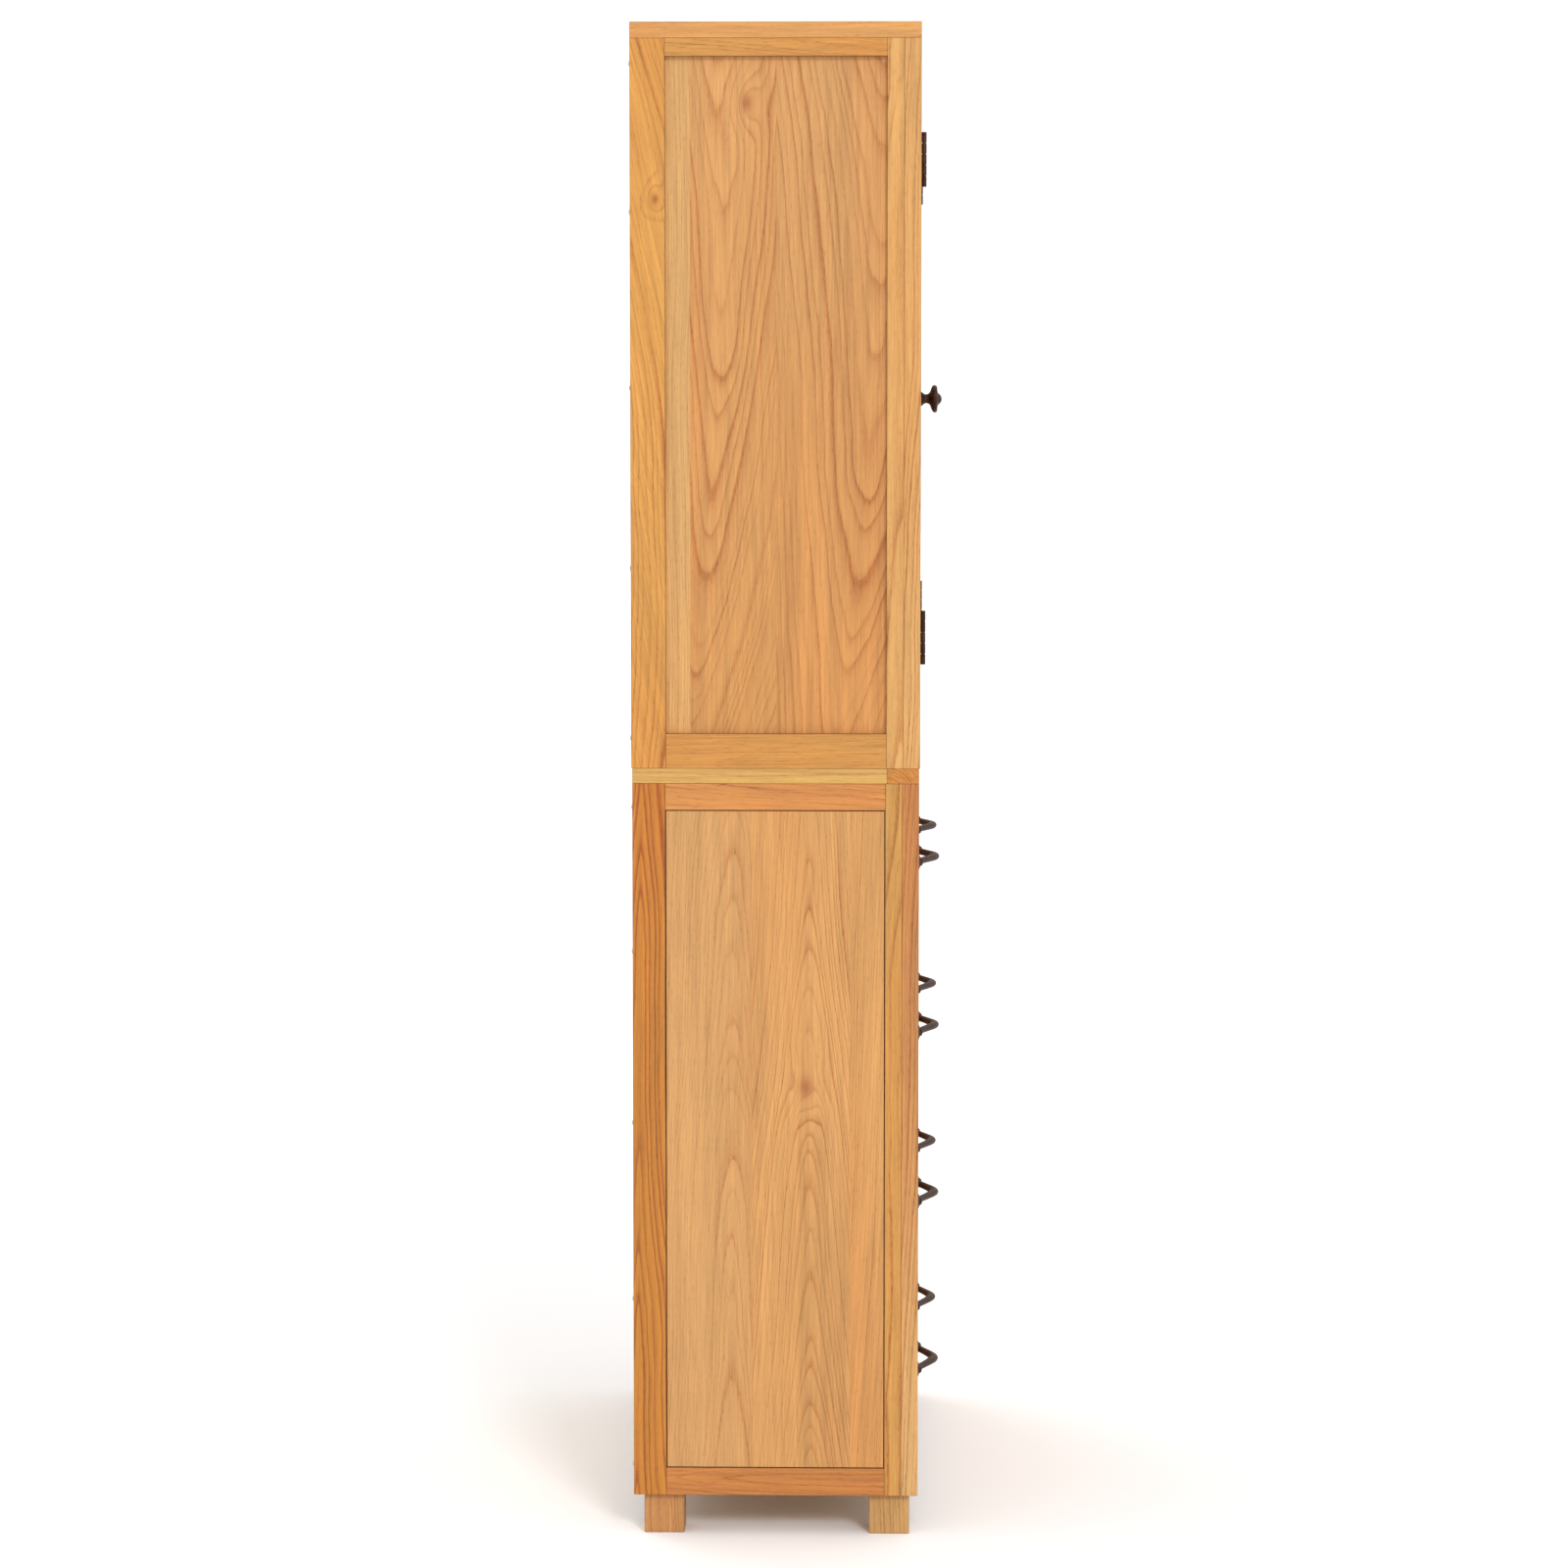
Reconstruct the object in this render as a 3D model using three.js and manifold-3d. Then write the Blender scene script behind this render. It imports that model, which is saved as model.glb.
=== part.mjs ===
// A pantry cabinet in oak: an upper cupboard with two inset doors, standing on a lower unit with eight
// drawers and four feet. Millimetres, +Z up, the front faces -Y, and the origin is on the floor at the
// middle of the cabinet's width and of its whole depth, knobs and screw heads included.
import * as THREE from "three";
import { mergeVertices } from "three/addons/utils/BufferGeometryUtils.js";
import Module from "manifold-3d";

const wasm = await Module();
wasm.setup();

// ---- Driving dimensions ----

// The cabinet
const WIDTH = 800;
const DEPTH = 342;
const KNOB_PROJECTION = 28;
const SCREW_HEAD_HEIGHT = 2;
const FOOT_HEIGHT = 49;
const UNIT_HEIGHT = 857;
const LOWER_TOP_THICKNESS = 18;
const TOP_BOARD_THICKNESS = 19;
const LOWER_UNIT_INSET = 1;

// Boards
const SIDE_THICKNESS = 20;
const FACE_THICKNESS = 20;
const FRONT_STILE = 20;
const SHELF_THICKNESS = 18;
const BACK_THICKNESS = 6;
const BACK_REBATE = 10;
const FIT = 0.25;

// The groove that holds a panel in its frame, and the tongue that runs round the panel
const TONGUE_THICKNESS = 6;
const TONGUE_DEPTH = 8;
const TONGUE_INSET = 3;

// The face frames' front members
const FACE_STILE = 40;
const UPPER_FACE_TOP_RAIL = 28;
const UPPER_FACE_BOTTOM_RAIL = 41;
const LOWER_FACE_TOP_RAIL = 18;
const LOWER_FACE_BOTTOM_RAIL = 33;
const DIVIDER = 28;
const MUNTIN = 40;
const DRAWER_ROWS = 4;

// Doors and their hinges
const DOOR_GAP = 2.5;
const DOOR_MEMBER = 62;
const DOOR_PANEL_RECESS = 6;
const DOOR_PANEL_THICKNESS = 10;
const HINGE_CENTRES_BELOW_TOP = [139.75, 704];
const HINGE_LENGTH = 64;
const LEAF_THICKNESS = 1;
const LEAF_WIDTH = 19.5;
const LEAF_SETBACK = 0.375;
const BARREL_RADIUS = 3;
const BARREL_AXIS_OUT = 3.125;
const PIN_RADIUS = 1.375;
const BORE_RADIUS = 1.875;
const KNUCKLES = 5;
const KNUCKLE_GAP = 0.375;
const KNOB_BELOW_TOP = 425;

// Drawers
const DRAWER_GAP = 2;
const BOX_LENGTH = 290;
const BOX_HEIGHT = 150;
const BOX_WALL = 12;
const BOX_FLOOR = 9;
const BOX_SIDE_GAP = 3;
const BOX_LIFT = 1.5;
const DUST_BOARD = 12;
const BOTTOM_BOARD = 18;
const PARTITION = 20;
const GUIDE_HEIGHT = 20;

// Feet
const FOOT_SIDE = 48;
const FOOT_INSET_SIDE = 12;
const FOOT_INSET_FRONT = 10;
const FOOT_INSET_BACK = 12;

// Screws up each edge of a back panel, measured down from the top of the unit
const BACK_SCREWS_BELOW_TOP = [29, 202, 408, 621, 822];
const SCREW_HEAD_RADIUS = 3.5;

// ---- Planes worked out from them ----

const HALF_WIDTH = WIDTH / 2;
const INNER_X = HALF_WIDTH - SIDE_THICKNESS;
const WHOLE_DEPTH = KNOB_PROJECTION + DEPTH + SCREW_HEAD_HEIGHT;
const FRONT_Y = KNOB_PROJECTION - WHOLE_DEPTH / 2;
const BACK_Y = FRONT_Y + DEPTH;

const LOWER = {
  name: "lower",
  front: FRONT_Y + LOWER_UNIT_INSET,
  back: BACK_Y - LOWER_UNIT_INSET,
  bottom: FOOT_HEIGHT,
  top: FOOT_HEIGHT + UNIT_HEIGHT,
  rearStile: 39,
  topRail: 31.5,
  bottomRail: 33,
  panelRecess: 1.5,
  panelThickness: 18,
  panelGap: 1.25,
};
const UPPER = {
  name: "upper",
  front: FRONT_Y,
  back: BACK_Y,
  bottom: LOWER.top + LOWER_TOP_THICKNESS,
  top: LOWER.top + LOWER_TOP_THICKNESS + UNIT_HEIGHT,
  rearStile: 41,
  topRail: 21,
  bottomRail: 41,
  panelRecess: 8,
  panelThickness: 12,
  panelGap: FIT,
};
const HAND = { left: -1, right: 1 };

// ---- Materials ----

const finish = (name, color, roughness, metalness = 0) => () =>
  new THREE.MeshStandardMaterial({ name, color, roughness, metalness });
const frameOak = finish("frame_oak", 0xde9f58, 0.5);
const panelOak = finish("panel_oak", 0xd99d61, 0.52);
const footOak = finish("foot_oak", 0xc8925e, 0.55);
const innerOak = finish("inner_oak", 0xd8a871, 0.6);
const plywood = finish("plywood", 0xd2a878, 0.65);
const bronze = finish("dark_bronze", 0x4a3226, 0.42, 0.85);

// ---- Solids ----

function solid(geometry) {
  const bare = geometry.index ? geometry.toNonIndexed() : geometry.clone();
  bare.deleteAttribute("normal");
  bare.deleteAttribute("uv");
  const merged = mergeVertices(bare, 1e-4);
  const mesh = new wasm.Mesh({
    numProp: 3,
    vertProperties: merged.attributes.position.array,
    triVerts: new Uint32Array(merged.index.array),
  });
  return new wasm.Manifold(mesh);
}

function geometryOf(body) {
  const mesh = body.getMesh();
  const geometry = new THREE.BufferGeometry();
  geometry.setAttribute("position", new THREE.BufferAttribute(mesh.vertProperties, 3));
  geometry.setIndex(new THREE.BufferAttribute(mesh.triVerts, 1));
  const flat = geometry.toNonIndexed();
  flat.computeVertexNormals();
  return flat;
}

function joined(...pieces) {
  const bodies = pieces.map(solid);
  return geometryOf(bodies.reduce((whole, body) => whole.add(body)));
}

function cut(piece, ...tools) {
  const bodies = tools.map(solid);
  return geometryOf(bodies.reduce((whole, body) => whole.subtract(body), solid(piece)));
}

// A block between two planes on each axis.
function block([x0, x1], [y0, y1], [z0, z1]) {
  const geometry = new THREE.BoxGeometry(x1 - x0, y1 - y0, z1 - z0);
  return geometry.translate((x0 + x1) / 2, (y0 + y1) / 2, (z0 + z1) / 2);
}

// The X range from a to b on one hand of the cabinet, in rising order.
function onHand(sign, a, b) {
  return sign > 0 ? [a, b] : [-b, -a];
}

function grown([low, high], by) {
  return [low - by, high + by];
}

const cabinet = new THREE.Group();

function add(name, geometry, material) {
  const mesh = new THREE.Mesh(geometry, material());
  mesh.name = name;
  cabinet.add(mesh);
  return mesh;
}

// ---- Framed panels ----

// A ring of stiles and rails with a groove round its opening. The opening is null on the axis of its thickness.
function groovedRing(outer, opening, groove) {
  const pocket = outer.map((range, axis) => (opening[axis] ? opening[axis] : grown(range, 1)));
  const slot = opening.map((range, axis) => (range ? grown(range, TONGUE_DEPTH + FIT) : groove[axis]));
  return cut(block(...outer), block(...pocket), block(...slot));
}

// A panel that fills a ring's opening, with the tongue that stands in the groove.
function tonguedPanel(faces, opening, tongue, gap) {
  const field = opening.map((range, axis) => (range ? grown(range, -gap) : faces[axis]));
  const edge = opening.map((range, axis) => (range ? grown(range, TONGUE_DEPTH) : tongue[axis]));
  return joined(block(...field), block(...edge));
}

// ---- Carcass ----

function addSide(unit, hand) {
  const sign = HAND[hand];
  const openingY = [unit.front + FACE_THICKNESS + FRONT_STILE, unit.back - unit.rearStile];
  const openingZ = [unit.bottom + unit.bottomRail, unit.top - unit.topRail];
  const opening = [null, openingY, openingZ];
  const outer = [
    onHand(sign, INNER_X, HALF_WIDTH),
    [unit.front + FACE_THICKNESS, unit.back],
    [unit.bottom, unit.top],
  ];
  const tongueIn = INNER_X + TONGUE_INSET;
  const tongueOut = tongueIn + TONGUE_THICKNESS;
  const groove = [onHand(sign, tongueIn - FIT, tongueOut + FIT), null, null];
  const rebate = block(
    onHand(sign, INNER_X - 1, INNER_X + BACK_REBATE),
    [unit.back - BACK_THICKNESS, unit.back + 1],
    grown([unit.bottom, unit.top], 1),
  );
  add(`${unit.name}_${hand}_side_frame`, cut(groovedRing(outer, opening, groove), rebate), frameOak);

  const panelOut = HALF_WIDTH - unit.panelRecess;
  const faces = [onHand(sign, panelOut - unit.panelThickness, panelOut), null, null];
  const tongue = [onHand(sign, tongueIn, tongueOut), null, null];
  add(`${unit.name}_${hand}_side_panel`, tonguedPanel(faces, opening, tongue, unit.panelGap), panelOak);
}

// A plywood sheet let into the rear stiles, with the pan heads of the screws that hold it.
function addBackPanel(unit) {
  const edge = INNER_X + BACK_REBATE - FIT;
  const screwX = INNER_X + BACK_REBATE / 2;
  const sheet = block([-edge, edge], [unit.back - BACK_THICKNESS, unit.back], [unit.bottom, unit.top]);
  const heads = Object.values(HAND).flatMap((sign) =>
    BACK_SCREWS_BELOW_TOP.map((below) => {
      const length = SCREW_HEAD_HEIGHT + BACK_THICKNESS / 2;
      const head = new THREE.CylinderGeometry(SCREW_HEAD_RADIUS, SCREW_HEAD_RADIUS, length, 12);
      return head.translate(sign * screwX, unit.back + SCREW_HEAD_HEIGHT - length / 2, unit.top - below);
    }),
  );
  add(`${unit.name}_back_panel`, joined(sheet, ...heads), plywood);
}

function addCarcass() {
  for (const unit of [UPPER, LOWER]) {
    addSide(unit, "left");
    addSide(unit, "right");
    addBackPanel(unit);
  }
  const across = [-HALF_WIDTH, HALF_WIDTH];
  const topBoard = block(across, [UPPER.front, UPPER.back], [UPPER.top, UPPER.top + TOP_BOARD_THICKNESS]);
  const lowerTop = block(across, [LOWER.front, LOWER.back], [LOWER.top, UPPER.bottom]);
  add("top_board", topBoard, frameOak);
  add("lower_top_board", lowerTop, frameOak);

  const inside = [UPPER.front + FACE_THICKNESS, UPPER.back - BACK_THICKNESS];
  const floorTop = UPPER.bottom + UPPER_FACE_BOTTOM_RAIL;
  const floor = block([-INNER_X, INNER_X], inside, [floorTop - BOTTOM_BOARD, floorTop]);
  add("upper_bottom_board", floor, innerOak);

  const shelves = ["lower_shelf", "upper_shelf"];
  const bay = (UPPER.top - floorTop - shelves.length * SHELF_THICKNESS) / (shelves.length + 1);
  shelves.forEach((name, i) => {
    const z = floorTop + bay + i * (bay + SHELF_THICKNESS);
    const shelf = block(grown([-INNER_X, INNER_X], -1), grown(inside, -2), [z, z + SHELF_THICKNESS]);
    add(name, shelf, innerOak);
  });
}

// ---- Face frames ----

const DOOR_OPENING = {
  x: HALF_WIDTH - FACE_STILE,
  z: [UPPER.bottom + UPPER_FACE_BOTTOM_RAIL, UPPER.top - UPPER_FACE_TOP_RAIL],
};
const COLUMN = [MUNTIN / 2, HALF_WIDTH - FACE_STILE];
const ROW_HEIGHT =
  (UNIT_HEIGHT - LOWER_FACE_TOP_RAIL - LOWER_FACE_BOTTOM_RAIL - (DRAWER_ROWS - 1) * DIVIDER) / DRAWER_ROWS;

// The height range of a drawer's opening. Row 1 is the top one.
function rowRange(row) {
  const top = LOWER.top - LOWER_FACE_TOP_RAIL - (row - 1) * (ROW_HEIGHT + DIVIDER);
  return [top - ROW_HEIGHT, top];
}

const ROWS = Array.from({ length: DRAWER_ROWS }, (_, i) => i + 1);

function addFaceFrames() {
  const across = [-HALF_WIDTH, HALF_WIDTH];
  const upperFace = [UPPER.front, UPPER.front + FACE_THICKNESS];
  const doorway = block([-DOOR_OPENING.x, DOOR_OPENING.x], grown(upperFace, 1), DOOR_OPENING.z);
  const upper = block(across, upperFace, [UPPER.bottom, UPPER.top]);
  add("upper_face_frame", cut(upper, doorway), frameOak);

  const lowerFace = [LOWER.front, LOWER.front + FACE_THICKNESS];
  const drawerways = ROWS.flatMap((row) =>
    Object.values(HAND).map((sign) => block(onHand(sign, ...COLUMN), grown(lowerFace, 1), rowRange(row))),
  );
  const lower = block(across, lowerFace, [LOWER.bottom, LOWER.top]);
  add("lower_face_frame", cut(lower, ...drawerways), frameOak);
}

// ---- Doors ----

// The turned knob's outline: distance out from the door and radius there, from the base to the front.
const KNOB_OUTLINE = [
  [0, 0],
  [0, 9.5],
  [2.5, 8.9],
  [5, 6.8],
  [7.6, 5.3],
  [11.4, 5.9],
  [13.4, 7.8],
  [15.2, 12.8],
  [17.2, 16.4],
  [19.6, 16.9],
  [21.8, 16.2],
  [23.2, 12.5],
  [24, 7.5],
  [26.6, 4.2],
  [KNOB_PROJECTION, 0],
];

function knobGeometry() {
  const points = KNOB_OUTLINE.map(([out, radius]) => new THREE.Vector2(radius, out));
  return new THREE.LatheGeometry(points, 20).rotateX(Math.PI);
}

function addDoor(hand) {
  const sign = HAND[hand];
  const outer = [
    onHand(sign, DOOR_GAP / 2, DOOR_OPENING.x - DOOR_GAP),
    [UPPER.front, UPPER.front + FACE_THICKNESS],
    grown(DOOR_OPENING.z, -DOOR_GAP),
  ];
  const opening = [grown(outer[0], -DOOR_MEMBER), null, grown(outer[2], -DOOR_MEMBER)];
  const tongueY = UPPER.front + (FACE_THICKNESS - TONGUE_THICKNESS) / 2 + 1;
  const groove = [null, [tongueY - FIT, tongueY + TONGUE_THICKNESS + FIT], null];
  add(`${hand}_door_frame`, groovedRing(outer, opening, groove), frameOak);

  const panelY = UPPER.front + DOOR_PANEL_RECESS;
  const faces = [null, [panelY, panelY + DOOR_PANEL_THICKNESS], null];
  const tongue = [null, [tongueY, tongueY + TONGUE_THICKNESS], null];
  add(`${hand}_door_panel`, tonguedPanel(faces, opening, tongue, FIT), panelOak);

  const knob = add(`${hand}_door_knob`, knobGeometry(), bronze);
  knob.position.set(sign * (DOOR_GAP / 2 + DOOR_MEMBER / 2), UPPER.front, UPPER.top - KNOB_BELOW_TOP);
}

// ---- Butt hinges ----

// An upright cylinder on the hinge's axis, from one height to another.
function onAxis(axis, radius, [low, high]) {
  const cylinder = new THREE.CylinderGeometry(radius, radius, high - low, 20).rotateX(Math.PI / 2);
  return cylinder.translate(axis.x, axis.y, (low + high) / 2);
}

const KNUCKLE_LENGTH = (HINGE_LENGTH - (KNUCKLES - 1) * KNUCKLE_GAP) / KNUCKLES;

function knuckleRange(bottom, index) {
  const low = bottom + index * (KNUCKLE_LENGTH + KNUCKLE_GAP);
  return [low, low + KNUCKLE_LENGTH];
}

// A leaf lies in the gap between door and frame, and reaches forward to the barrel at its own knuckles.
function leafPieces(sign, axis, [near, far], bottom, knuckles) {
  const x = onHand(sign, near, far);
  const start = UPPER.front + LEAF_SETBACK;
  const plate = block(x, [start, UPPER.front + LEAF_WIDTH], [bottom, bottom + HINGE_LENGTH]);
  const tabs = knuckles.map((k) => block(x, [axis.y, start + 1], knuckleRange(bottom, k)));
  const barrels = knuckles.map((k) => onAxis(axis, BARREL_RADIUS, knuckleRange(bottom, k)));
  return [plate, ...tabs, ...barrels];
}

function addHinge(hand, place, below) {
  const sign = HAND[hand];
  const bottom = UPPER.top - below - HINGE_LENGTH / 2;
  const axis = {
    x: sign * (DOOR_OPENING.x - DOOR_GAP / 2),
    y: UPPER.front - BARREL_AXIS_OUT,
  };
  const doorEdge = DOOR_OPENING.x - DOOR_GAP;
  const frameLeaf = [DOOR_OPENING.x - LEAF_THICKNESS, DOOR_OPENING.x];
  const doorLeaf = [doorEdge, doorEdge + LEAF_THICKNESS];
  const even = [...Array(KNUCKLES).keys()].filter((k) => k % 2 === 0);
  const odd = [...Array(KNUCKLES).keys()].filter((k) => k % 2 === 1);
  const whole = [bottom, bottom + HINGE_LENGTH];
  const pin = onAxis(axis, PIN_RADIUS, whole);
  const bore = onAxis(axis, BORE_RADIUS, grown(whole, 1));
  const name = `${hand}_${place}_hinge`;
  const fixed = joined(...leafPieces(sign, axis, frameLeaf, bottom, even), pin);
  const moving = cut(joined(...leafPieces(sign, axis, doorLeaf, bottom, odd)), bore);
  add(`${name}_frame_leaf`, fixed, bronze);
  add(`${name}_door_leaf`, moving, bronze);
}

function addDoors() {
  for (const hand of Object.keys(HAND)) {
    addDoor(hand);
    addHinge(hand, "top", HINGE_CENTRES_BELOW_TOP[0]);
    addHinge(hand, "bottom", HINGE_CENTRES_BELOW_TOP[1]);
  }
}

// ---- Drawers ----

// A bow pull: a bar that leans out from both feet and turns over in a soft point at the middle.
const PULL = {
  legReach: 62,
  pointOut: 26.2,
  slope: 0.427,
  pointRadius: 5.7,
  barDepth: 5.5,
  barHeight: 4.5,
  footCentre: 67,
  footReach: 10,
  footHeight: 9.4,
  footThickness: 2,
};

class BowLine extends THREE.Curve {
  getPoint(t, target = new THREE.Vector3()) {
    const x = PULL.legReach * (2 * t - 1);
    const out = PULL.pointOut - Math.hypot(PULL.slope * x, PULL.pointRadius);
    return target.set(x, -out, 0);
  }
}

function pullGeometry() {
  const section = new THREE.Shape();
  section.absellipse(0, 0, PULL.barHeight, PULL.barDepth, 0, 2 * Math.PI);
  const bow = new THREE.ExtrudeGeometry(section, {
    steps: 22,
    curveSegments: 5,
    extrudePath: new BowLine(),
  });
  const feet = Object.values(HAND).map((sign) => {
    const foot = new THREE.CylinderGeometry(1, 1, PULL.footThickness, 16);
    foot.scale(PULL.footReach, 1, PULL.footHeight);
    return foot.translate(sign * PULL.footCentre, -PULL.footThickness / 2, 0);
  });
  const behind = block([-100, 100], [0, 50], [-50, 50]);
  return cut(joined(bow, ...feet), behind);
}

function addDrawers() {
  const faceY = [LOWER.front, LOWER.front + FACE_THICKNESS];
  const boxY = [faceY[1], faceY[1] + BOX_LENGTH];
  const pull = pullGeometry();
  for (const row of ROWS) {
    for (const [hand, sign] of Object.entries(HAND)) {
      const name = `drawer_${row}_${hand}`;
      const openingX = onHand(sign, ...COLUMN);
      const openingZ = rowRange(row);
      const front = block(grown(openingX, -DRAWER_GAP), faceY, grown(openingZ, -DRAWER_GAP));
      add(`${name}_front`, front, panelOak);

      const boxX = grown(openingX, -BOX_SIDE_GAP);
      const boxBottom = openingZ[0] + BOX_LIFT;
      const boxTop = boxBottom + BOX_HEIGHT;
      const shell = block(boxX, boxY, [boxBottom, boxTop]);
      const inside = block(grown(boxX, -BOX_WALL), grown(boxY, -BOX_WALL), [boxBottom + BOX_FLOOR, boxTop + 1]);
      add(`${name}_box`, cut(shell, inside), innerOak);

      const bow = add(`${name}_pull`, pull, bronze);
      bow.position.set((openingX[0] + openingX[1]) / 2, LOWER.front, (openingZ[0] + openingZ[1]) / 2);
    }
  }
}

// The partition, dust boards, guide strips and bottom board that carry the drawers, glued up as one.
function addDrawerRack() {
  const y = [LOWER.front + FACE_THICKNESS, LOWER.back - BACK_THICKNESS];
  const [bottomLow] = rowRange(DRAWER_ROWS);
  const pieces = [
    block([-PARTITION / 2, PARTITION / 2], y, [bottomLow - BOTTOM_BOARD, LOWER.top]),
    block([-INNER_X, INNER_X], y, [bottomLow - BOTTOM_BOARD, bottomLow]),
  ];
  for (const row of ROWS) {
    const [low] = rowRange(row);
    if (row < DRAWER_ROWS) {
      pieces.push(block([-INNER_X, INNER_X], y, [low - DUST_BOARD, low]));
    }
    for (const sign of Object.values(HAND)) {
      pieces.push(block(onHand(sign, 0, COLUMN[0]), y, [low - DUST_BOARD / 2, low + GUIDE_HEIGHT]));
      pieces.push(block(onHand(sign, COLUMN[1], INNER_X), y, [low - DUST_BOARD / 2, low + GUIDE_HEIGHT]));
    }
  }
  add("drawer_rack", joined(...pieces), innerOak);
}

// ---- Feet ----

// A square foot with a stub on top that stands in the corner of the carcass, under the bottom board.
function addFeet() {
  const [bottomLow] = rowRange(DRAWER_ROWS);
  const stubTop = bottomLow - BOTTOM_BOARD;
  const footX = HALF_WIDTH - FOOT_INSET_SIDE;
  const frontStart = LOWER.front + FOOT_INSET_FRONT;
  const backEnd = LOWER.back - FOOT_INSET_BACK;
  const places = {
    front: { foot: [frontStart, frontStart + FOOT_SIDE], stubStart: LOWER.front + FACE_THICKNESS },
    rear: { foot: [backEnd - FOOT_SIDE, backEnd], stubStart: backEnd - FOOT_SIDE },
  };
  for (const [end, { foot, stubStart }] of Object.entries(places)) {
    for (const [hand, sign] of Object.entries(HAND)) {
      const post = block(onHand(sign, footX - FOOT_SIDE, footX), foot, [0, FOOT_HEIGHT]);
      const stub = block(onHand(sign, footX - FOOT_SIDE, INNER_X), [stubStart, foot[1]], [1, stubTop]);
      add(`${end}_${hand}_foot`, joined(post, stub), footOak);
    }
  }
}

addCarcass();
addFaceFrames();
addDoors();
addDrawerRack();
addDrawers();
addFeet();

export default cabinet;
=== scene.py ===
# %% [markdown]
# # A pantry cabinet in oak
# The cabinet's working model gives every place and size: which boards there are, where the doors turn and
# where the drawers run. This lesson dresses that frame. It builds each board again as a cabinetmaker would
# cut it, with its own grain, and turns the knobs, bends the pulls and sets the screws.
# We load the frame first, and keep its box, because the dressed cabinet must not grow past it.

import math
import random

import bpy
import numpy as np
from mathutils import Matrix, Vector


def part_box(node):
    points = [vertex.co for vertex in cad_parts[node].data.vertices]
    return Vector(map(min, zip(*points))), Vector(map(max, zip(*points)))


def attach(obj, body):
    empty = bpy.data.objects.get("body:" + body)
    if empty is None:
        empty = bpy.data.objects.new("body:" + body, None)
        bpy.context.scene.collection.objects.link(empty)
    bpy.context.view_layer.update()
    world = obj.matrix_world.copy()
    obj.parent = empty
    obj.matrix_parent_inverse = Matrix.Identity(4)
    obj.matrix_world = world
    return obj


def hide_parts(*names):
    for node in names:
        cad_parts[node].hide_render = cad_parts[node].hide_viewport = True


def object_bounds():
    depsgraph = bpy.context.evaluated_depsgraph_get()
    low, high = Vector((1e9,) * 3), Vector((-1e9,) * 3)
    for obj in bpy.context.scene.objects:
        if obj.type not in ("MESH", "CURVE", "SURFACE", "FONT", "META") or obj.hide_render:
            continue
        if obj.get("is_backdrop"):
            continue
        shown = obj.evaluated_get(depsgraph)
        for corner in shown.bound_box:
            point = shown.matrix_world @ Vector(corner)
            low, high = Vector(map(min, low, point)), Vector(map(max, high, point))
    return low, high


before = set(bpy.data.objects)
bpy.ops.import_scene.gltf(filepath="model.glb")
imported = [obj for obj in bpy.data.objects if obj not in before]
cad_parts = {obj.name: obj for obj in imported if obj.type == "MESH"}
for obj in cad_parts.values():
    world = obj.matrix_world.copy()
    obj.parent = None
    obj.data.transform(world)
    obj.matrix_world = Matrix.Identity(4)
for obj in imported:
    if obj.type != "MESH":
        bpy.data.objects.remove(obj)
cad_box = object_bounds()
bpy.ops.object.select_all(action="DESELECT")

# %% [markdown]
# ## The camera
# A tall thing seen square on from the side is best taken with a long lens from well back. Too near, and the
# far edge shrinks. The camera stands about 5.6 m off the cabinet's left side, at head height and a little
# behind the plane of the doors, so that the far pulls show above the near ones and just short of them. The
# framing comes from tilting the camera down. A large lens shift would hold the uprights parallel, but it
# would cut the top off in every other view, so only a small one is used.

# %% Place the camera
SENSOR_WIDTH = 36
SIDE_PLANE = cad_box[0].x
CAMERA_DISTANCE = 5.589
BEHIND_DOORS = 0.0311
EYE_HEIGHT = 1.4247
DOOR_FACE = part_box("left_door_frame")[0].y
EYE = Vector((SIDE_PLANE - CAMERA_DISTANCE, DOOR_FACE + BEHIND_DOORS, EYE_HEIGHT))
AIM = Vector((SIDE_PLANE, 0.003, 0.943))
LENS_LENGTH = 108.9
LENS_SHIFT = -0.02

bpy.ops.object.camera_add(location=EYE)
camera = bpy.context.object
camera.name = "portrait_camera"
camera.rotation_mode = "QUATERNION"
camera.rotation_quaternion = (AIM - EYE).to_track_quat("-Z", "Y")
camera.data.sensor_width = SENSOR_WIDTH
camera.data.lens = LENS_LENGTH
camera.data.shift_y = LENS_SHIFT
bpy.context.scene.camera = camera
print("camera at", [round(v, 3) for v in EYE])

# %% [markdown]
# ## Floor and light
# The room is a pale floor under an even white sky, so the wood's own colour is what shows. A broad sun stands
# in for a studio's key lamp: from a distance its light is even all over the floor, and its width, 14 degrees,
# keeps the edge of each shadow soft. It comes from the left and a little from the front and above, so that
# each frame throws a narrow shadow on its panel. A weak one from the other side keeps the back readable.

# %% Floor, sky and lamps
WHITE_FLOOR = (0.93, 0.93, 0.93, 1)
FLOOR_ROUGHNESS = 0.9
FLOOR_SIZE = 60
LAMP_DISTANCE = 4
SKY_LIGHT = 1.05
# Each lamp: where its light comes from, the light it throws on a surface that faces it, its width in degrees
LAMPS = {"key_lamp": ((-1, -0.35, 0.6), 0.42, 14), "fill_lamp": ((1, 0.9, 0.6), 0.16, 30)}


def colour_of(red, green, blue):
    """A colour given on a screen, 0 to 255, as the linear light that shaders work in."""
    def linear(value):
        share = value / 255
        return share / 12.92 if share <= 0.04045 else ((share + 0.055) / 1.055) ** 2.4
    return (linear(red), linear(green), linear(blue), 1)


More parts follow.
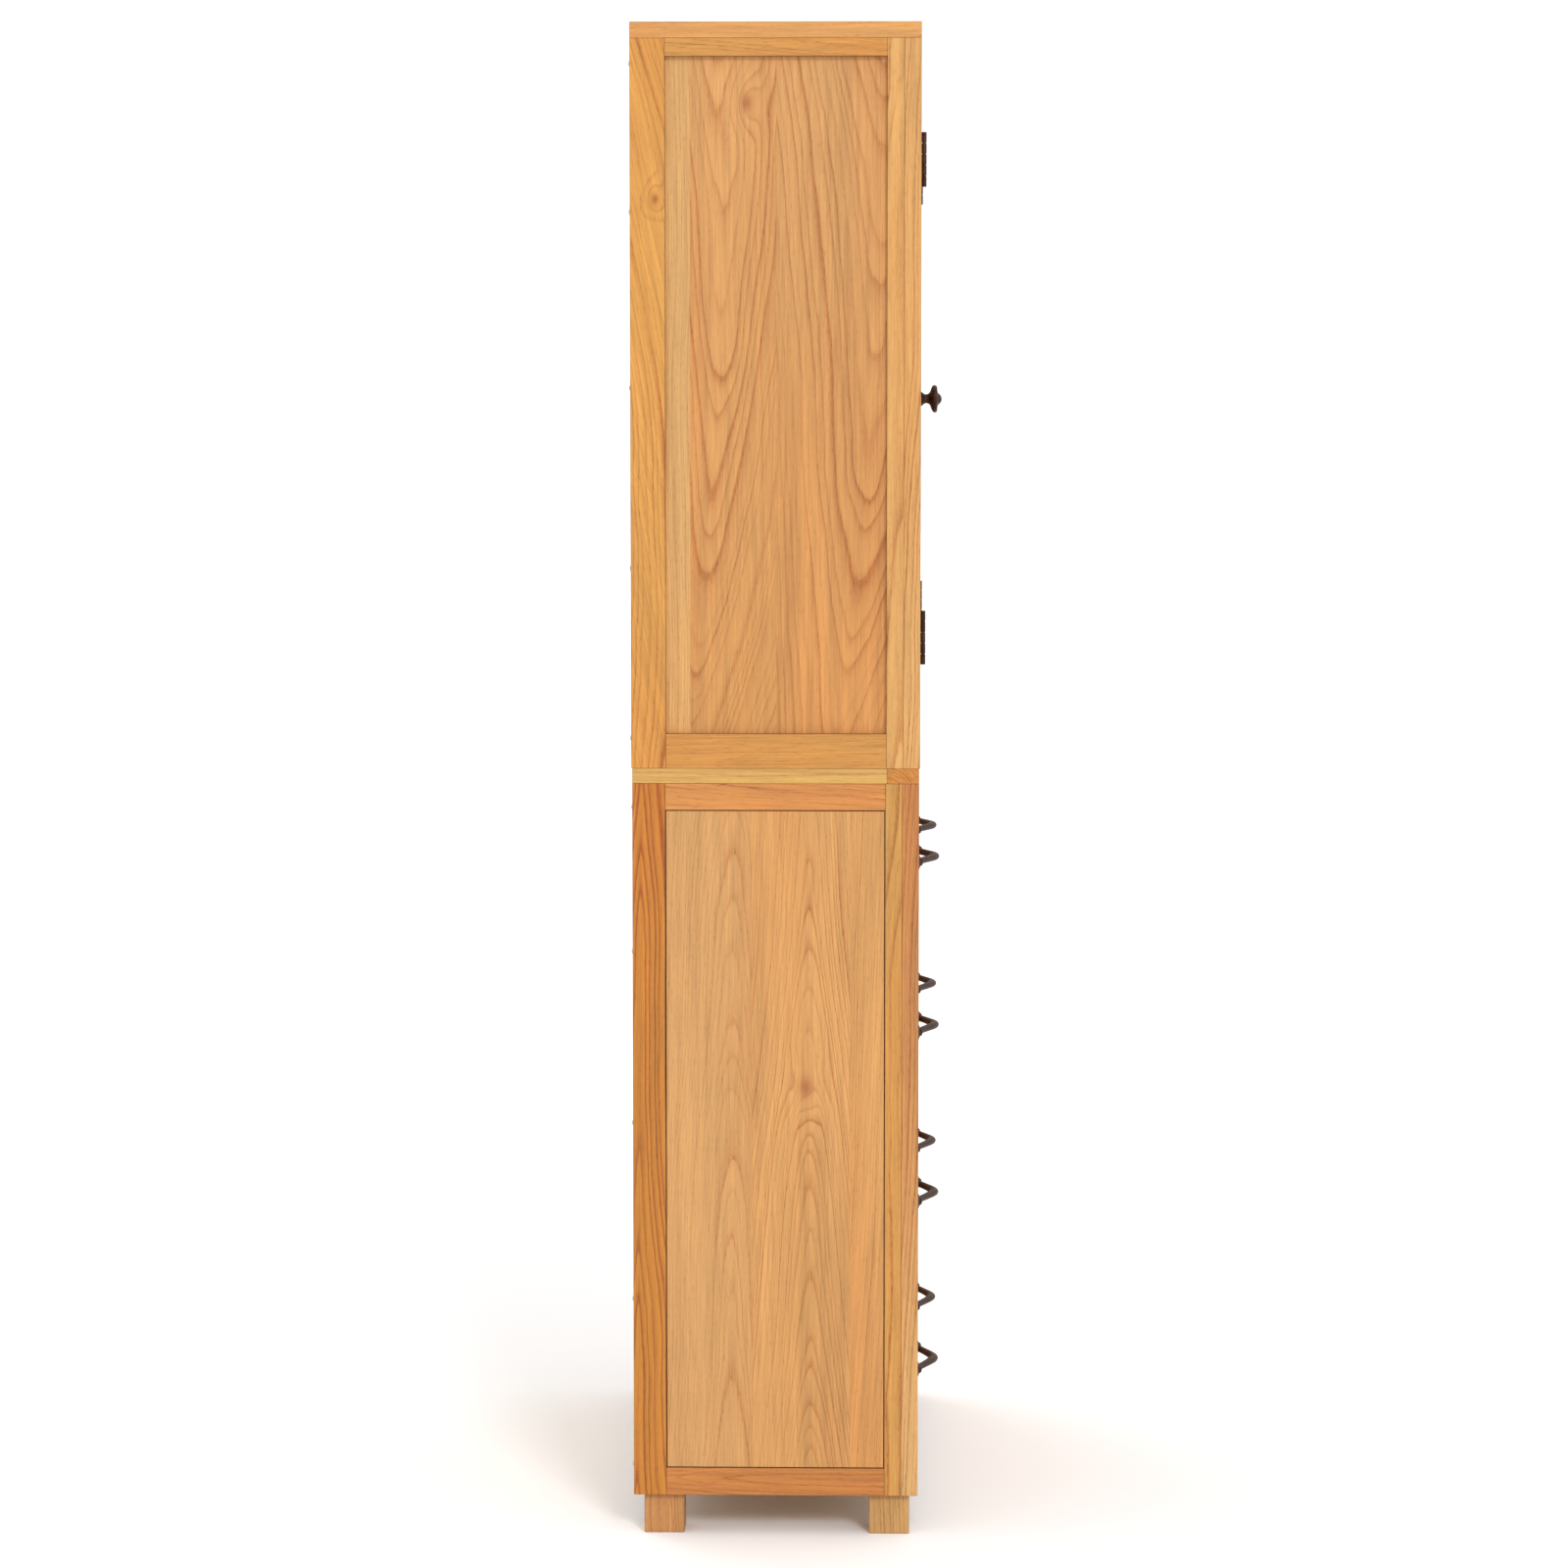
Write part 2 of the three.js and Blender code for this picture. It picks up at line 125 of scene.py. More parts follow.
bpy.ops.mesh.primitive_plane_add(size=FLOOR_SIZE, location=(0, 0, 0))
floor = bpy.context.object
floor.name = "floor"
pale_floor = bpy.data.materials.new("pale_floor")
pale_floor.use_nodes = True
floor_shader = pale_floor.node_tree.nodes["Principled BSDF"]
floor_shader.inputs["Base Color"].default_value = WHITE_FLOOR
floor_shader.inputs["Roughness"].default_value = FLOOR_ROUGHNESS
floor.data.materials.append(pale_floor)
floor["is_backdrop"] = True

world = bpy.data.worlds.new("white_sky")
bpy.context.scene.world = world
world.use_nodes = True
sky = world.node_tree.nodes["Background"]
sky.inputs["Color"].default_value = (1, 1, 1, 1)
sky.inputs["Strength"].default_value = SKY_LIGHT


def add_sun(name, towards, light, width):
    """A sun. Its strength is the light it throws on a surface that faces it, times pi."""
    bpy.ops.object.light_add(type="SUN", location=Vector(towards).normalized() * LAMP_DISTANCE)
    lamp = bpy.context.object
    lamp.name = name
    lamp.data.energy = light * math.pi
    lamp.data.angle = math.radians(width)
    lamp.rotation_mode = "QUATERNION"
    lamp.rotation_quaternion = Vector(towards).to_track_quat("Z", "Y")


for name, settings in LAMPS.items():
    add_sun(name, *settings)
bpy.context.scene.view_settings.view_transform = "Standard"
print("lamps:", sorted(LAMPS))

# %% [markdown]
# ## How a board remembers the tree
# Oak's figure is not a picture on the surface. It is the cut through the tree's yearly rings, so the sides,
# the face and the end of a board all agree. A ring is a cylinder round the pith that narrows slowly up the
# tree. A plank cut near the middle of the tree shows tall pointed arches, and one cut off to the side shows
# straight lines.
# We could paint grain with a flat noise, but then the end of a board would not match its face. Instead each
# corner of a board's mesh stores where it stood in the tree: across from the pith, out from the pith, and
# up the trunk. The shader works out the rings from that. A trunk is seldom straight, so a board may also
# have a bow: how fast the pith curves away sideways.

# %% Choosing the timber for a board
HONEY = (221, 158, 90)
STRAW = (222, 168, 100)
PANEL_TAN = (217, 158, 99)
PALE_OAK = (223, 178, 124)
FACE_COLOURS = [HONEY, STRAW, PANEL_TAN, HONEY]


def timber(name, **wanted):
    """One board's place in the tree. Lengths are metres. What isn't asked for is drawn by the board's name."""
    draw = random.Random(name)
    board = {
        "across": draw.choice([-1, 1]) * draw.uniform(0.0, 0.05),
        "out": draw.uniform(0.03, 0.07),
        "up": draw.uniform(-0.5, 0.5),
        "lean": draw.uniform(-0.02, 0.02),
        "taper": draw.choice([-1, 1]) * draw.uniform(0.05, 0.11),
        "pitch": draw.uniform(0.004, 0.0065),
        "seed": draw.uniform(0, 40),
        "colour": draw.choice(FACE_COLOURS),
        "low_colour": None,
        "figure": 1.0,
        "bow": 0.0,
        "knot": None,
    }
    jitter = draw.uniform(-4, 4)
    board.update(wanted)
    if "colour" not in wanted:
        board["colour"] = tuple(c + jitter for c in board["colour"])
    return board


print("sample board:", {k: v for k, v in timber("sample").items() if k != "colour"})

# %% [markdown]
# ## Writing the tree onto the mesh
# Five attributes go on the mesh's corners: the place in the tree, the ring data, the board's own colour
# with the strength of its figure as the alpha, the place from its knot, and the edge marks (1 on an eased
# edge, which the shader paints darker as painted shade, 1 on end grain, then the bow). They sit on corners
# rather than on points, so two staves glued side by side can differ along the very edge they share.
# The colour is divided by the light that the sky and the lamps throw on a board, so that it looks as chosen.

# %% Write the attributes
FAR_FROM_KNOT = 50.0
KNOT_STRETCH = 1.6
BOARD_LIGHT = 1.47
BEYOND = 1e9
SQUARE_ON = 0.98


def mesh_arrays(mesh):
    """Corner positions, and each corner's face centre and face normal, as arrays of rows."""
    points = np.empty(len(mesh.vertices) * 3, np.float32)
    mesh.vertices.foreach_get("co", points)
    index = np.empty(len(mesh.loops), np.int32)
    mesh.loops.foreach_get("vertex_index", index)
    sides = np.empty(len(mesh.polygons), np.int32)
    mesh.polygons.foreach_get("loop_total", sides)
    centres = np.empty(len(mesh.polygons) * 3, np.float32)
    mesh.polygons.foreach_get("center", centres)
    normals = np.empty(len(mesh.polygons) * 3, np.float32)
    mesh.polygons.foreach_get("normal", normals)
    corners = points.reshape(-1, 3)[index]
    return corners, np.repeat(centres.reshape(-1, 3), sides, 0), np.repeat(normals.reshape(-1, 3), sides, 0)


def write_corners(mesh, name, rows, kind="FLOAT_VECTOR"):
    layer = mesh.attributes.get(name) or mesh.attributes.new(name, kind, "CORNER")
    field = "color" if kind == "FLOAT_COLOR" else "vector"
    layer.data.foreach_set(field, np.ascontiguousarray(rows, np.float32).ravel())


def lay_grain(piece, along, across, staves):
    """Writes the grain. along and across are axis numbers, and staves is [(upper end across, timber), ...]."""
    mesh = piece.data
    corners, centres, normals = mesh_arrays(mesh)
    count = len(corners)
    out_axis = 3 - along - across
    middle = (corners.min(0) + corners.max(0)) / 2
    rise = (corners[:, along] - corners[:, along].min()) / np.ptp(corners[:, along])
    grain, rings = np.zeros((count, 3)), np.zeros((count, 3))
    shade, knot = np.ones((count, 4)), np.full((count, 3), FAR_FROM_KNOT)
    edge_shade_end_grain_bow = np.zeros((count, 3))
    start = -BEYOND
    for end, board in staves:
        here = (centres[:, across] > start) & (centres[:, across] <= end)
        place = corners[here] - middle
        trunk = place[:, along] + board["up"]
        grain[here, 0] = place[:, across] - board["across"] + board["lean"] * place[:, along]
        grain[here, 1] = place[:, out_axis] + board["out"]
        grain[here, 2] = trunk
        rings[here] = (board["taper"], board["pitch"], board["seed"])
        high_end = np.array(colour_of(*board["colour"])[:3]) / BOARD_LIGHT
        low_end = np.array(colour_of(*(board["low_colour"] or board["colour"]))[:3]) / BOARD_LIGHT
        shade[here, :3] = low_end + (high_end - low_end) * rise[here, None]
        shade[here, 3] = board["figure"]
        edge_shade_end_grain_bow[here, 2] = board["bow"]
        if board["knot"]:
            knot_across, knot_along, size = board["knot"]
            knot[here, 0] = (place[:, across] - knot_across) / size
            knot[here, 1] = 0
            knot[here, 2] = (place[:, along] - knot_along) / (size * KNOT_STRETCH)
        start = end
    # Eased edges are marked so that the shader darkens them: painted shade for the groove between boards,
    # partly lacquer held on the edge
    edge_shade_end_grain_bow[:, 0] = np.abs(normals).max(1) < SQUARE_ON
    edge_shade_end_grain_bow[:, 1] = np.abs(normals[:, along]) > SQUARE_ON
    for name, rows in (("grain", grain), ("rings", rings), ("knot", knot), ("edge_shade_end_grain_bow", edge_shade_end_grain_bow)):
        write_corners(mesh, name, rows)
    write_corners(mesh, "shade", shade, "FLOAT_COLOR")
    return piece


print("attributes: grain, rings, shade, knot, wear")

# %% [markdown]
# ## Small helpers for shader nodes
# Shader trees are long to write out by hand, so two helpers place a node and feed its sockets: one for any
# node and one for arithmetic.

# %% Node helpers


def place_node(tree, kind, feeds=None, **settings):
    """Adds a node, and feeds its sockets, each by a link or by a plain value."""
    made = tree.nodes.new(kind)
    for key, value in settings.items():
        setattr(made, key, value)
    for key, value in (feeds or {}).items():
        if isinstance(value, bpy.types.NodeSocket):
            tree.links.new(value, made.inputs[key])
        else:
            made.inputs[key].default_value = value
    return made


def calc(tree, operation, *values, clamp=False):
    feeds = dict(enumerate(values))
    return place_node(tree, "ShaderNodeMath", feeds, operation=operation, use_clamp=clamp).outputs[0]


def stretch(tree, vector, scale):
    feeds = {0: vector, 1: scale}
    return place_node(tree, "ShaderNodeVectorMath", feeds, operation="MULTIPLY").outputs[0]


def cloud(tree, vector, detail=0.0):
    """Soft noise from 0 to 1 at the scale that the vector already has."""
    feeds = {"Vector": vector, "Scale": 1.0, "Detail": detail}
    return place_node(tree, "ShaderNodeTexNoise", feeds).outputs[0]


def ramp(tree, fac, stops):
    """A grey ramp through (position, value) stops, from 0 to 1 in order."""
    made = place_node(tree, "ShaderNodeValToRGB", {"Fac": fac})
    elements = made.color_ramp.elements
    for position, _ in stops[1:-1]:
        elements.new(position)
    for element, (position, value) in zip(elements, stops):
        element.position = position
        element.color = (value, value, value, 1)
    return made.outputs["Color"]


def mix_colour(tree, fac, first, second, blend="MIX"):
    feeds = {0: fac, 6: first, 7: second}
    made = place_node(tree, "ShaderNodeMix", feeds, data_type="RGBA", blend_type=blend)
    return made.outputs[2]


def new_group(name, takes, gives):
    group = bpy.data.node_groups.new(name, "ShaderNodeTree")
    for label, kind in takes:
        group.interface.new_socket(label, in_out="INPUT", socket_type=kind)
    for label, kind in gives:
        group.interface.new_socket(label, in_out="OUTPUT", socket_type=kind)
    return group, group.nodes.new("NodeGroupInput"), group.nodes.new("NodeGroupOutput")


print("helpers ready")

# %% [markdown]
# ## The rings
# Oak lays down a band of wide pores each spring, then denser wood. On the face that reads as a dark line
# with one sharp side and one soft side. The distance from the pith, with a slow wander added and a knot's
# bulge where there is one, is divided by the width of a year. What is left over after the whole years says
# how far through the year a point is. Dry years make narrow rings, some springs leave hardly a mark, and the
# figure fades here and there along a board, so nothing repeats like a contour map.

# %% Ring group
YEAR_STOPS = [
    (0.0, 1.0), (0.08, 0.9), (0.18, 0.5), (0.32, 0.25), (0.52, 0.1), (0.84, 0.0), (0.95, 0.3), (1.0, 1.0),
]
# How far the pith sways, in metres, and how the rings wander, in years, each at its scale over the tree
SWAY_SCALE, SWAY = (8.0, 8.0, 2.8), 0.024
WANDERS = [((24.0, 24.0, 7.0), 0.9), ((75.0, 75.0, 15.0), 0.36), ((210.0, 210.0, 45.0), 0.12)]
# Runs of lean years: how often they come, and by how many years they shift the rings
LEAN_RATE, LEAN_YEARS = 0.43, 1.6
KNOT_YEARS, KNOT_CORE = 2.6, 9.0
LUCK_SPAN, LEAST_LUCK = 0.75, 0.3
PATCH_SCALE, PATCH_SPAN, LEAST_PATCH = (16.0, 16.0, 3.2), 1.7, 0.1


def build_rings():
    takes = [
        ("Grain", "NodeSocketVector"), ("Rings", "NodeSocketVector"), ("Knot", "NodeSocketVector"),
        ("Bow", "NodeSocketFloat"),
    ]
    gives = [("Line", "NodeSocketFloat"), ("Knot Mask", "NodeSocketFloat"), ("Place", "NodeSocketVector")]
    group, given, result = new_group("oak_rings", takes, gives)
    grain = place_node(group, "ShaderNodeSeparateXYZ", {0: given.outputs["Grain"]})
    rings = place_node(group, "ShaderNodeSeparateXYZ", {0: given.outputs["Rings"]})
    taper, pitch, seed = rings.outputs
    offset = place_node(group, "ShaderNodeCombineXYZ", {0: seed, 1: seed, 2: seed}).outputs[0]
    place = place_node(group, "ShaderNodeVectorMath", {0: given.outputs["Grain"], 1: offset}).outputs[0]

    up_square = calc(group, "MULTIPLY", grain.outputs[2], grain.outputs[2])
    bowed = calc(group, "SUBTRACT", grain.outputs[0], calc(group, "MULTIPLY", given.outputs["Bow"], up_square))
    across_square = calc(group, "MULTIPLY", bowed, bowed)
    out_square = calc(group, "MULTIPLY", grain.outputs[1], grain.outputs[1])
    radius = calc(group, "SQRT", calc(group, "ADD", across_square, out_square))
    climb = calc(group, "MULTIPLY", grain.outputs[2], taper)
    years = calc(group, "DIVIDE", calc(group, "ADD", radius, climb), pitch)

    sway = calc(group, "SUBTRACT", cloud(group, stretch(group, place, SWAY_SCALE)), 0.5)
    years = calc(group, "ADD", years, calc(group, "DIVIDE", calc(group, "MULTIPLY", sway, SWAY), pitch))
    for scale, swing in WANDERS:
        drift = calc(group, "SUBTRACT", cloud(group, stretch(group, place, scale)), 0.5)
        years = calc(group, "MULTIPLY_ADD", drift, swing, years)
    feeds = {"W": calc(group, "MULTIPLY_ADD", years, LEAN_RATE, seed), "Scale": 1.0, "Detail": 0.0}
    lean_years = place_node(group, "ShaderNodeTexNoise", feeds, noise_dimensions="1D").outputs[0]
    years = calc(group, "MULTIPLY_ADD", lean_years, LEAN_YEARS, years)

    knot_far = place_node(group, "ShaderNodeVectorMath", {0: given.outputs["Knot"]}, operation="LENGTH")
    knot_square = calc(group, "MULTIPLY", knot_far.outputs["Value"], knot_far.outputs["Value"])
    bulge = calc(group, "EXPONENT", calc(group, "MULTIPLY", knot_square, -1.0))
    years = calc(group, "MULTIPLY_ADD", bulge, KNOT_YEARS, years)
    knot_mask = calc(group, "EXPONENT", calc(group, "MULTIPLY", knot_square, -KNOT_CORE))

    part = calc(group, "FRACT", years)
    line = ramp(group, part, YEAR_STOPS)
    whole = calc(group, "FLOOR", calc(group, "ADD", years, seed))
    luck = place_node(group, "ShaderNodeTexWhiteNoise", {"W": whole}, noise_dimensions="1D").outputs["Value"]
    weight = calc(group, "MULTIPLY_ADD", luck, LUCK_SPAN, LEAST_LUCK)
    patch = cloud(group, stretch(group, place, PATCH_SCALE), 1.0)
    weight = calc(group, "MULTIPLY", weight, calc(group, "MULTIPLY_ADD", patch, PATCH_SPAN, LEAST_PATCH))
    group.links.new(calc(group, "MULTIPLY", line, weight, clamp=True), result.inputs["Line"])
    group.links.new(knot_mask, result.inputs["Knot Mask"])
    group.links.new(place, result.inputs["Place"])
    return group


RINGS_GROUP = build_rings()
print("ring group nodes:", len(RINGS_GROUP.nodes))

# %% [markdown]
# ## The surface of oak
# Over the rings lie the finer marks: pores as short dark dashes drawn out along the grain and crowded in
# the spring lines, faint fibre streaks, and slow drifts of tone along the board. Edges that were eased with
# sandpaper are painted a touch darker: partly lacquer held on the edge, and partly painted shade standing in
# for the dark line in the groove between two boards. End grain drinks the lacquer and goes darker still.
# The group gives a colour, a roughness and a height, so each wood finish can use them in its own shader.

# %% Oak group
# Noise scales, each across, out and up the tree, with its detail
FIBRE = (520.0, 520.0, 16.0), 2.0
STREAK = (110.0, 110.0, 2.5), 1.0
DRIFT = (12.0, 12.0, 2.0), 1.0
WARMTH = (9.0, 9.0, 1.6), 1.0
DASH = (1000.0, 1000.0, 95.0), 1.0
# What each mark multiplies the board's colour by
FIELD_TINT = (1.06, 1.08, 0.95, 1)
RING_TINT = (0.72, 0.5, 0.3, 1)
RUSSET_TINT = (1.0, 0.86, 0.72, 1)
PORE_TINT = (0.5, 0.36, 0.26, 1)
KNOT_TINT = (0.62, 0.36, 0.26, 1)
# How strongly the marks show in the colour, the roughness and the height
PORE_START, PORE_GAIN, PORES_IN_LINES = 0.54, 7.0, 0.75
RUSSET_START, RUSSET_GAIN, RUSSET_SHARE, KNOT_SHARE = 0.42, 3.0, 0.8, 0.8
FIBRE_LIGHT, STREAK_LIGHT, DRIFT_LIGHT = 0.56, 0.4, 0.26
# The eased-edge darkening is painted shade for the groove between boards, partly lacquer held on the edge
EDGE_PAINTED_SHADE, END_LIGHT = -0.16, -0.1
LINE_ROUGH, PORE_ROUGH, STREAK_ROUGH = 0.07, 0.2, 0.12
FIBRE_HEIGHT, LINE_HEIGHT = 0.25, -0.3


def build_oak():
    takes = [("Figure", "NodeSocketFloat"), ("Pores", "NodeSocketFloat"), ("Gloss", "NodeSocketFloat")]
    gives = [("Color", "NodeSocketColor"), ("Roughness", "NodeSocketFloat"), ("Height", "NodeSocketFloat")]
    group, given, result = new_group("oak_surface", takes, gives)

    def attribute(name, output):
        return place_node(group, "ShaderNodeAttribute", attribute_name=name).outputs[output]

    def times(tint, colour):
        return mix_colour(group, 1.0, colour, tint, "MULTIPLY")

    def swing(source, amount):
        return calc(group, "MULTIPLY", calc(group, "SUBTRACT", source, 0.5), amount)

    rings = place_node(group, "ShaderNodeGroup", node_tree=RINGS_GROUP)
    for name, socket in (("grain", "Grain"), ("rings", "Rings"), ("knot", "Knot")):
        group.links.new(attribute(name, "Vector"), rings.inputs[socket])
    line, knot_mask, place = rings.outputs
    edge_shade_end_grain_bow = place_node(group, "ShaderNodeSeparateXYZ", {0: attribute("edge_shade_end_grain_bow", "Vector")})
    group.links.new(edge_shade_end_grain_bow.outputs[2], rings.inputs["Bow"])
    shade, own_figure = attribute("shade", "Color"), attribute("shade", "Alpha")

    noises = (cloud(group, stretch(group, place, scale), detail) for scale, detail in (
        FIBRE, STREAK, DRIFT, WARMTH, DASH))
    fibre, streak, drift, warmth, dash = noises
    pore = calc(group, "MULTIPLY", calc(group, "SUBTRACT", dash, PORE_START), PORE_GAIN, clamp=True)
    crowd = calc(group, "MULTIPLY_ADD", line, PORES_IN_LINES, 1 - PORES_IN_LINES)
    pore = calc(group, "MULTIPLY", calc(group, "MULTIPLY", pore, crowd), given.outputs["Pores"])

    line_weight = calc(group, "MULTIPLY", line, calc(group, "MULTIPLY", given.outputs["Figure"], own_figure))
    colour = mix_colour(group, line_weight, times(FIELD_TINT, shade), times(RING_TINT, shade))
    warm_share = calc(group, "SUBTRACT", warmth, RUSSET_START)
    warm_share = calc(group, "MULTIPLY", warm_share, RUSSET_GAIN, clamp=True)
    warm_share = calc(group, "MULTIPLY", warm_share, RUSSET_SHARE)
    colour = mix_colour(group, warm_share, colour, times(RUSSET_TINT, colour))

    light = calc(group, "ADD", swing(fibre, FIBRE_LIGHT), swing(streak, STREAK_LIGHT))
    light = calc(group, "ADD", light, swing(drift, DRIFT_LIGHT))
    light = calc(group, "ADD", light, 1.0)
    # Painted shade: eased edges go darker, partly lacquer held there
    light = calc(group, "MULTIPLY_ADD", edge_shade_end_grain_bow.outputs[0], EDGE_PAINTED_SHADE, light)
    light = calc(group, "MULTIPLY_ADD", edge_shade_end_grain_bow.outputs[1], END_LIGHT, light)
    grey = place_node(group, "ShaderNodeCombineColor", {0: light, 1: light, 2: light}).outputs[0]
    colour = mix_colour(group, 1.0, colour, grey, "MULTIPLY")
    colour = mix_colour(group, pore, colour, times(PORE_TINT, colour))
    knot_share = calc(group, "MULTIPLY", knot_mask, KNOT_SHARE)
    colour = mix_colour(group, knot_share, colour, times(KNOT_TINT, shade))

    rough = calc(group, "MULTIPLY_ADD", line, LINE_ROUGH, given.outputs["Gloss"])
    rough = calc(group, "MULTIPLY_ADD", pore, PORE_ROUGH, rough)
    rough = calc(group, "ADD", rough, swing(streak, STREAK_ROUGH))
    height = calc(group, "MULTIPLY_ADD", fibre, FIBRE_HEIGHT, calc(group, "MULTIPLY", pore, -1.0))
    height = calc(group, "MULTIPLY_ADD", line, LINE_HEIGHT, height)
    group.links.new(colour, result.inputs["Color"])
    group.links.new(rough, result.inputs["Roughness"])
    group.links.new(height, result.inputs["Height"])
    return group


OAK_GROUP = build_oak()
print("oak group nodes:", len(OAK_GROUP.nodes))

# %% [markdown]
# ## Five finishes of oak
# The outside frames, the wide panels, the feet, the unlacquered insides and the plywood differ in how
# strong the figure is, how open the pores are and how much the lacquer shines.

# %% Oak finishes
# Each finish: figure, pores, roughness before the marks, and the weight of the lacquer's coat
OAK_FINISHES = {
    "frame_oak": (1.0, 0.75, 0.44, 0.1),
    "panel_oak": (1.0, 0.55, 0.46, 0.1),
    "foot_oak": (0.8, 0.8, 0.6, 0.0),
    "inner_oak": (0.6, 0.5, 0.58, 0.0),
    "plywood": (0.45, 0.5, 0.6, 0.0),
}
PORE_DEPTH, PORE_STRENGTH = 0.0003, 0.6
OAK_SPECULAR = 0.35
COAT_ROUGHNESS = 0.35


def oak_material(name, figure, pores, gloss, coat):
    made = bpy.data.materials.new(name)
    made.use_nodes = True
    tree = made.node_tree
    shader = tree.nodes["Principled BSDF"]
    settings = {"Figure": figure, "Pores": pores, "Gloss": gloss}
    surface = place_node(tree, "ShaderNodeGroup", settings, node_tree=OAK_GROUP)
    feeds = {"Height": surface.outputs["Height"], "Distance": PORE_DEPTH, "Strength": PORE_STRENGTH}
    bump = place_node(tree, "ShaderNodeBump", feeds)
    tree.links.new(surface.outputs["Color"], shader.inputs["Base Color"])
    tree.links.new(surface.outputs["Roughness"], shader.inputs["Roughness"])
    tree.links.new(bump.outputs["Normal"], shader.inputs["Normal"])
    shader.inputs["Specular IOR Level"].default_value = OAK_SPECULAR
    shader.inputs["Coat Weight"].default_value = coat
    shader.inputs["Coat Roughness"].default_value = COAT_ROUGHNESS
    return made


WOODS = {name: oak_material(name, *settings) for name, settings in OAK_FINISHES.items()}
print("oak finishes:", sorted(WOODS))

# %% [markdown]
# ## Dark bronze
# The knobs, pulls and hinges are iron dipped to a dark brown bronze. The colour is nearly even, with a
# little wear to warmer metal where hands reach, and small dimples from the casting. A noise on Object
# coordinates gives the dimples and the patches, and the pointiness of the mesh is left alone, because it
# changes with the mesh's density.

# %% Bronze and steel
PATCH_START, PATCH_GAIN, PATCH_ROUGH = 0.45, 3.0, 0.2
GRIT_SIZE, GRIT_DEPTH, GRIT_STRENGTH = 1500.0, 0.0002, 0.35
METAL_SPECULAR = 0.25


def metal_material(name, dark, bright, metallic, rough, patch_scale):
    made = bpy.data.materials.new(name)
    made.use_nodes = True
    tree = made.node_tree
    shader = tree.nodes["Principled BSDF"]
    where = place_node(tree, "ShaderNodeTexCoord").outputs["Object"]
    patch = cloud(tree, stretch(tree, where, (patch_scale,) * 3), 3.0)
    grit = cloud(tree, stretch(tree, where, (GRIT_SIZE,) * 3), 1.0)
    share = calc(tree, "MULTIPLY", calc(tree, "SUBTRACT", patch, PATCH_START), PATCH_GAIN, clamp=True)
    tree.links.new(mix_colour(tree, share, dark, bright), shader.inputs["Base Color"])
    roughness = calc(tree, "MULTIPLY_ADD", patch, PATCH_ROUGH, rough)
    tree.links.new(roughness, shader.inputs["Roughness"])
    feeds = {"Height": grit, "Distance": GRIT_DEPTH, "Strength": GRIT_STRENGTH}
    bump = place_node(tree, "ShaderNodeBump", feeds)
    tree.links.new(bump.outputs["Normal"], shader.inputs["Normal"])
    shader.inputs["Metallic"].default_value = metallic
    shader.inputs["Specular IOR Level"].default_value = METAL_SPECULAR
    return made


BRONZE = metal_material("dark_bronze", colour_of(54, 34, 27), colour_of(86, 57, 44), 0.5, 0.42, 90.0)
STEEL = metal_material("zinc_steel", colour_of(176, 172, 160), colour_of(206, 202, 192), 0.9, 0.3, 60.0)
print("metals:", BRONZE.name, STEEL.name)

# %% [markdown]
# ## A board
# A planed board is a box whose edges have been eased by a pass of sandpaper, so each catches a thread of
# light. We add a cube at the board's place and size, bevel its edges in edit mode, and write the grain.
# Everything longer than it is wide has its grain along its length, as a maker would cut it. A rebate, such
# as the step that a cabinet's back lies in, is cut with a Boolean modifier before the grain is written.

# %% Make a board
EASE = 0.0007
AXES = {"x": 0, "y": 1, "z": 2}


def start_block(name, low, high):
    low, high = Vector(low), Vector(high)
    bpy.ops.object.select_all(action="DESELECT")
    bpy.ops.mesh.primitive_cube_add(size=1, location=(low + high) / 2, scale=high - low)
    piece = bpy.context.object
    piece.name = name
    piece.data.name = name
    bpy.ops.object.transform_apply(location=True, rotation=True, scale=True)
    return piece


def in_edit(piece, *steps):
    """Runs each step in edit mode with the whole mesh selected."""
    bpy.context.view_layer.objects.active = piece
    bpy.ops.object.mode_set(mode="EDIT")
    for step in steps:
        bpy.ops.mesh.select_all(action="SELECT")
        step()
    bpy.ops.object.mode_set(mode="OBJECT")
    return piece


def ease_edges(piece, width=EASE, segments=2):
    return in_edit(piece, lambda: bpy.ops.mesh.bevel(offset=width, segments=segments, affect="EDGES"))


def finish_piece(piece, material, body, replaces=()):
    piece.data.materials.clear()
    piece.data.materials.append(material)
    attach(piece, body)
    if replaces:
        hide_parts(*replaces)
    return piece


def combine(piece, operation, others):
    """Cuts each of the others out of the piece, or joins it on, with a Boolean modifier, and removes it."""
    for other in others:
        bpy.ops.object.select_all(action="DESELECT")
        piece.select_set(True)
        bpy.context.view_layer.objects.active = piece
        step = piece.modifiers.new("combine", "BOOLEAN")
        step.operation = operation
        step.solver = "EXACT"
        step.object = other
        bpy.ops.object.modifier_apply(modifier=step.name)
        bpy.data.objects.remove(other)
    return piece


def add_board(
        name, low, high, along, body="cabinet", slot="frame_oak", replaces=(), ease=EASE, rebate=None, **cut):
    """A board between two corners, its grain along an axis. A rebate is the two corners of what is cut away."""
    piece = start_block(name, low, high)
    ease_edges(piece, ease)
    if rebate:
        combine(piece, "DIFFERENCE", [start_block("rebate_tool", *rebate)])
    size = Vector(high) - Vector(low)
    run = AXES[along]
    others = sorted((axis for axis in range(3) if axis != run), key=lambda axis: -size[axis])
    lay_grain(piece, run, others[0], [(BEYOND, timber(name, **cut))])
    return finish_piece(piece, WOODS[slot], body, replaces)


print("board tools ready")

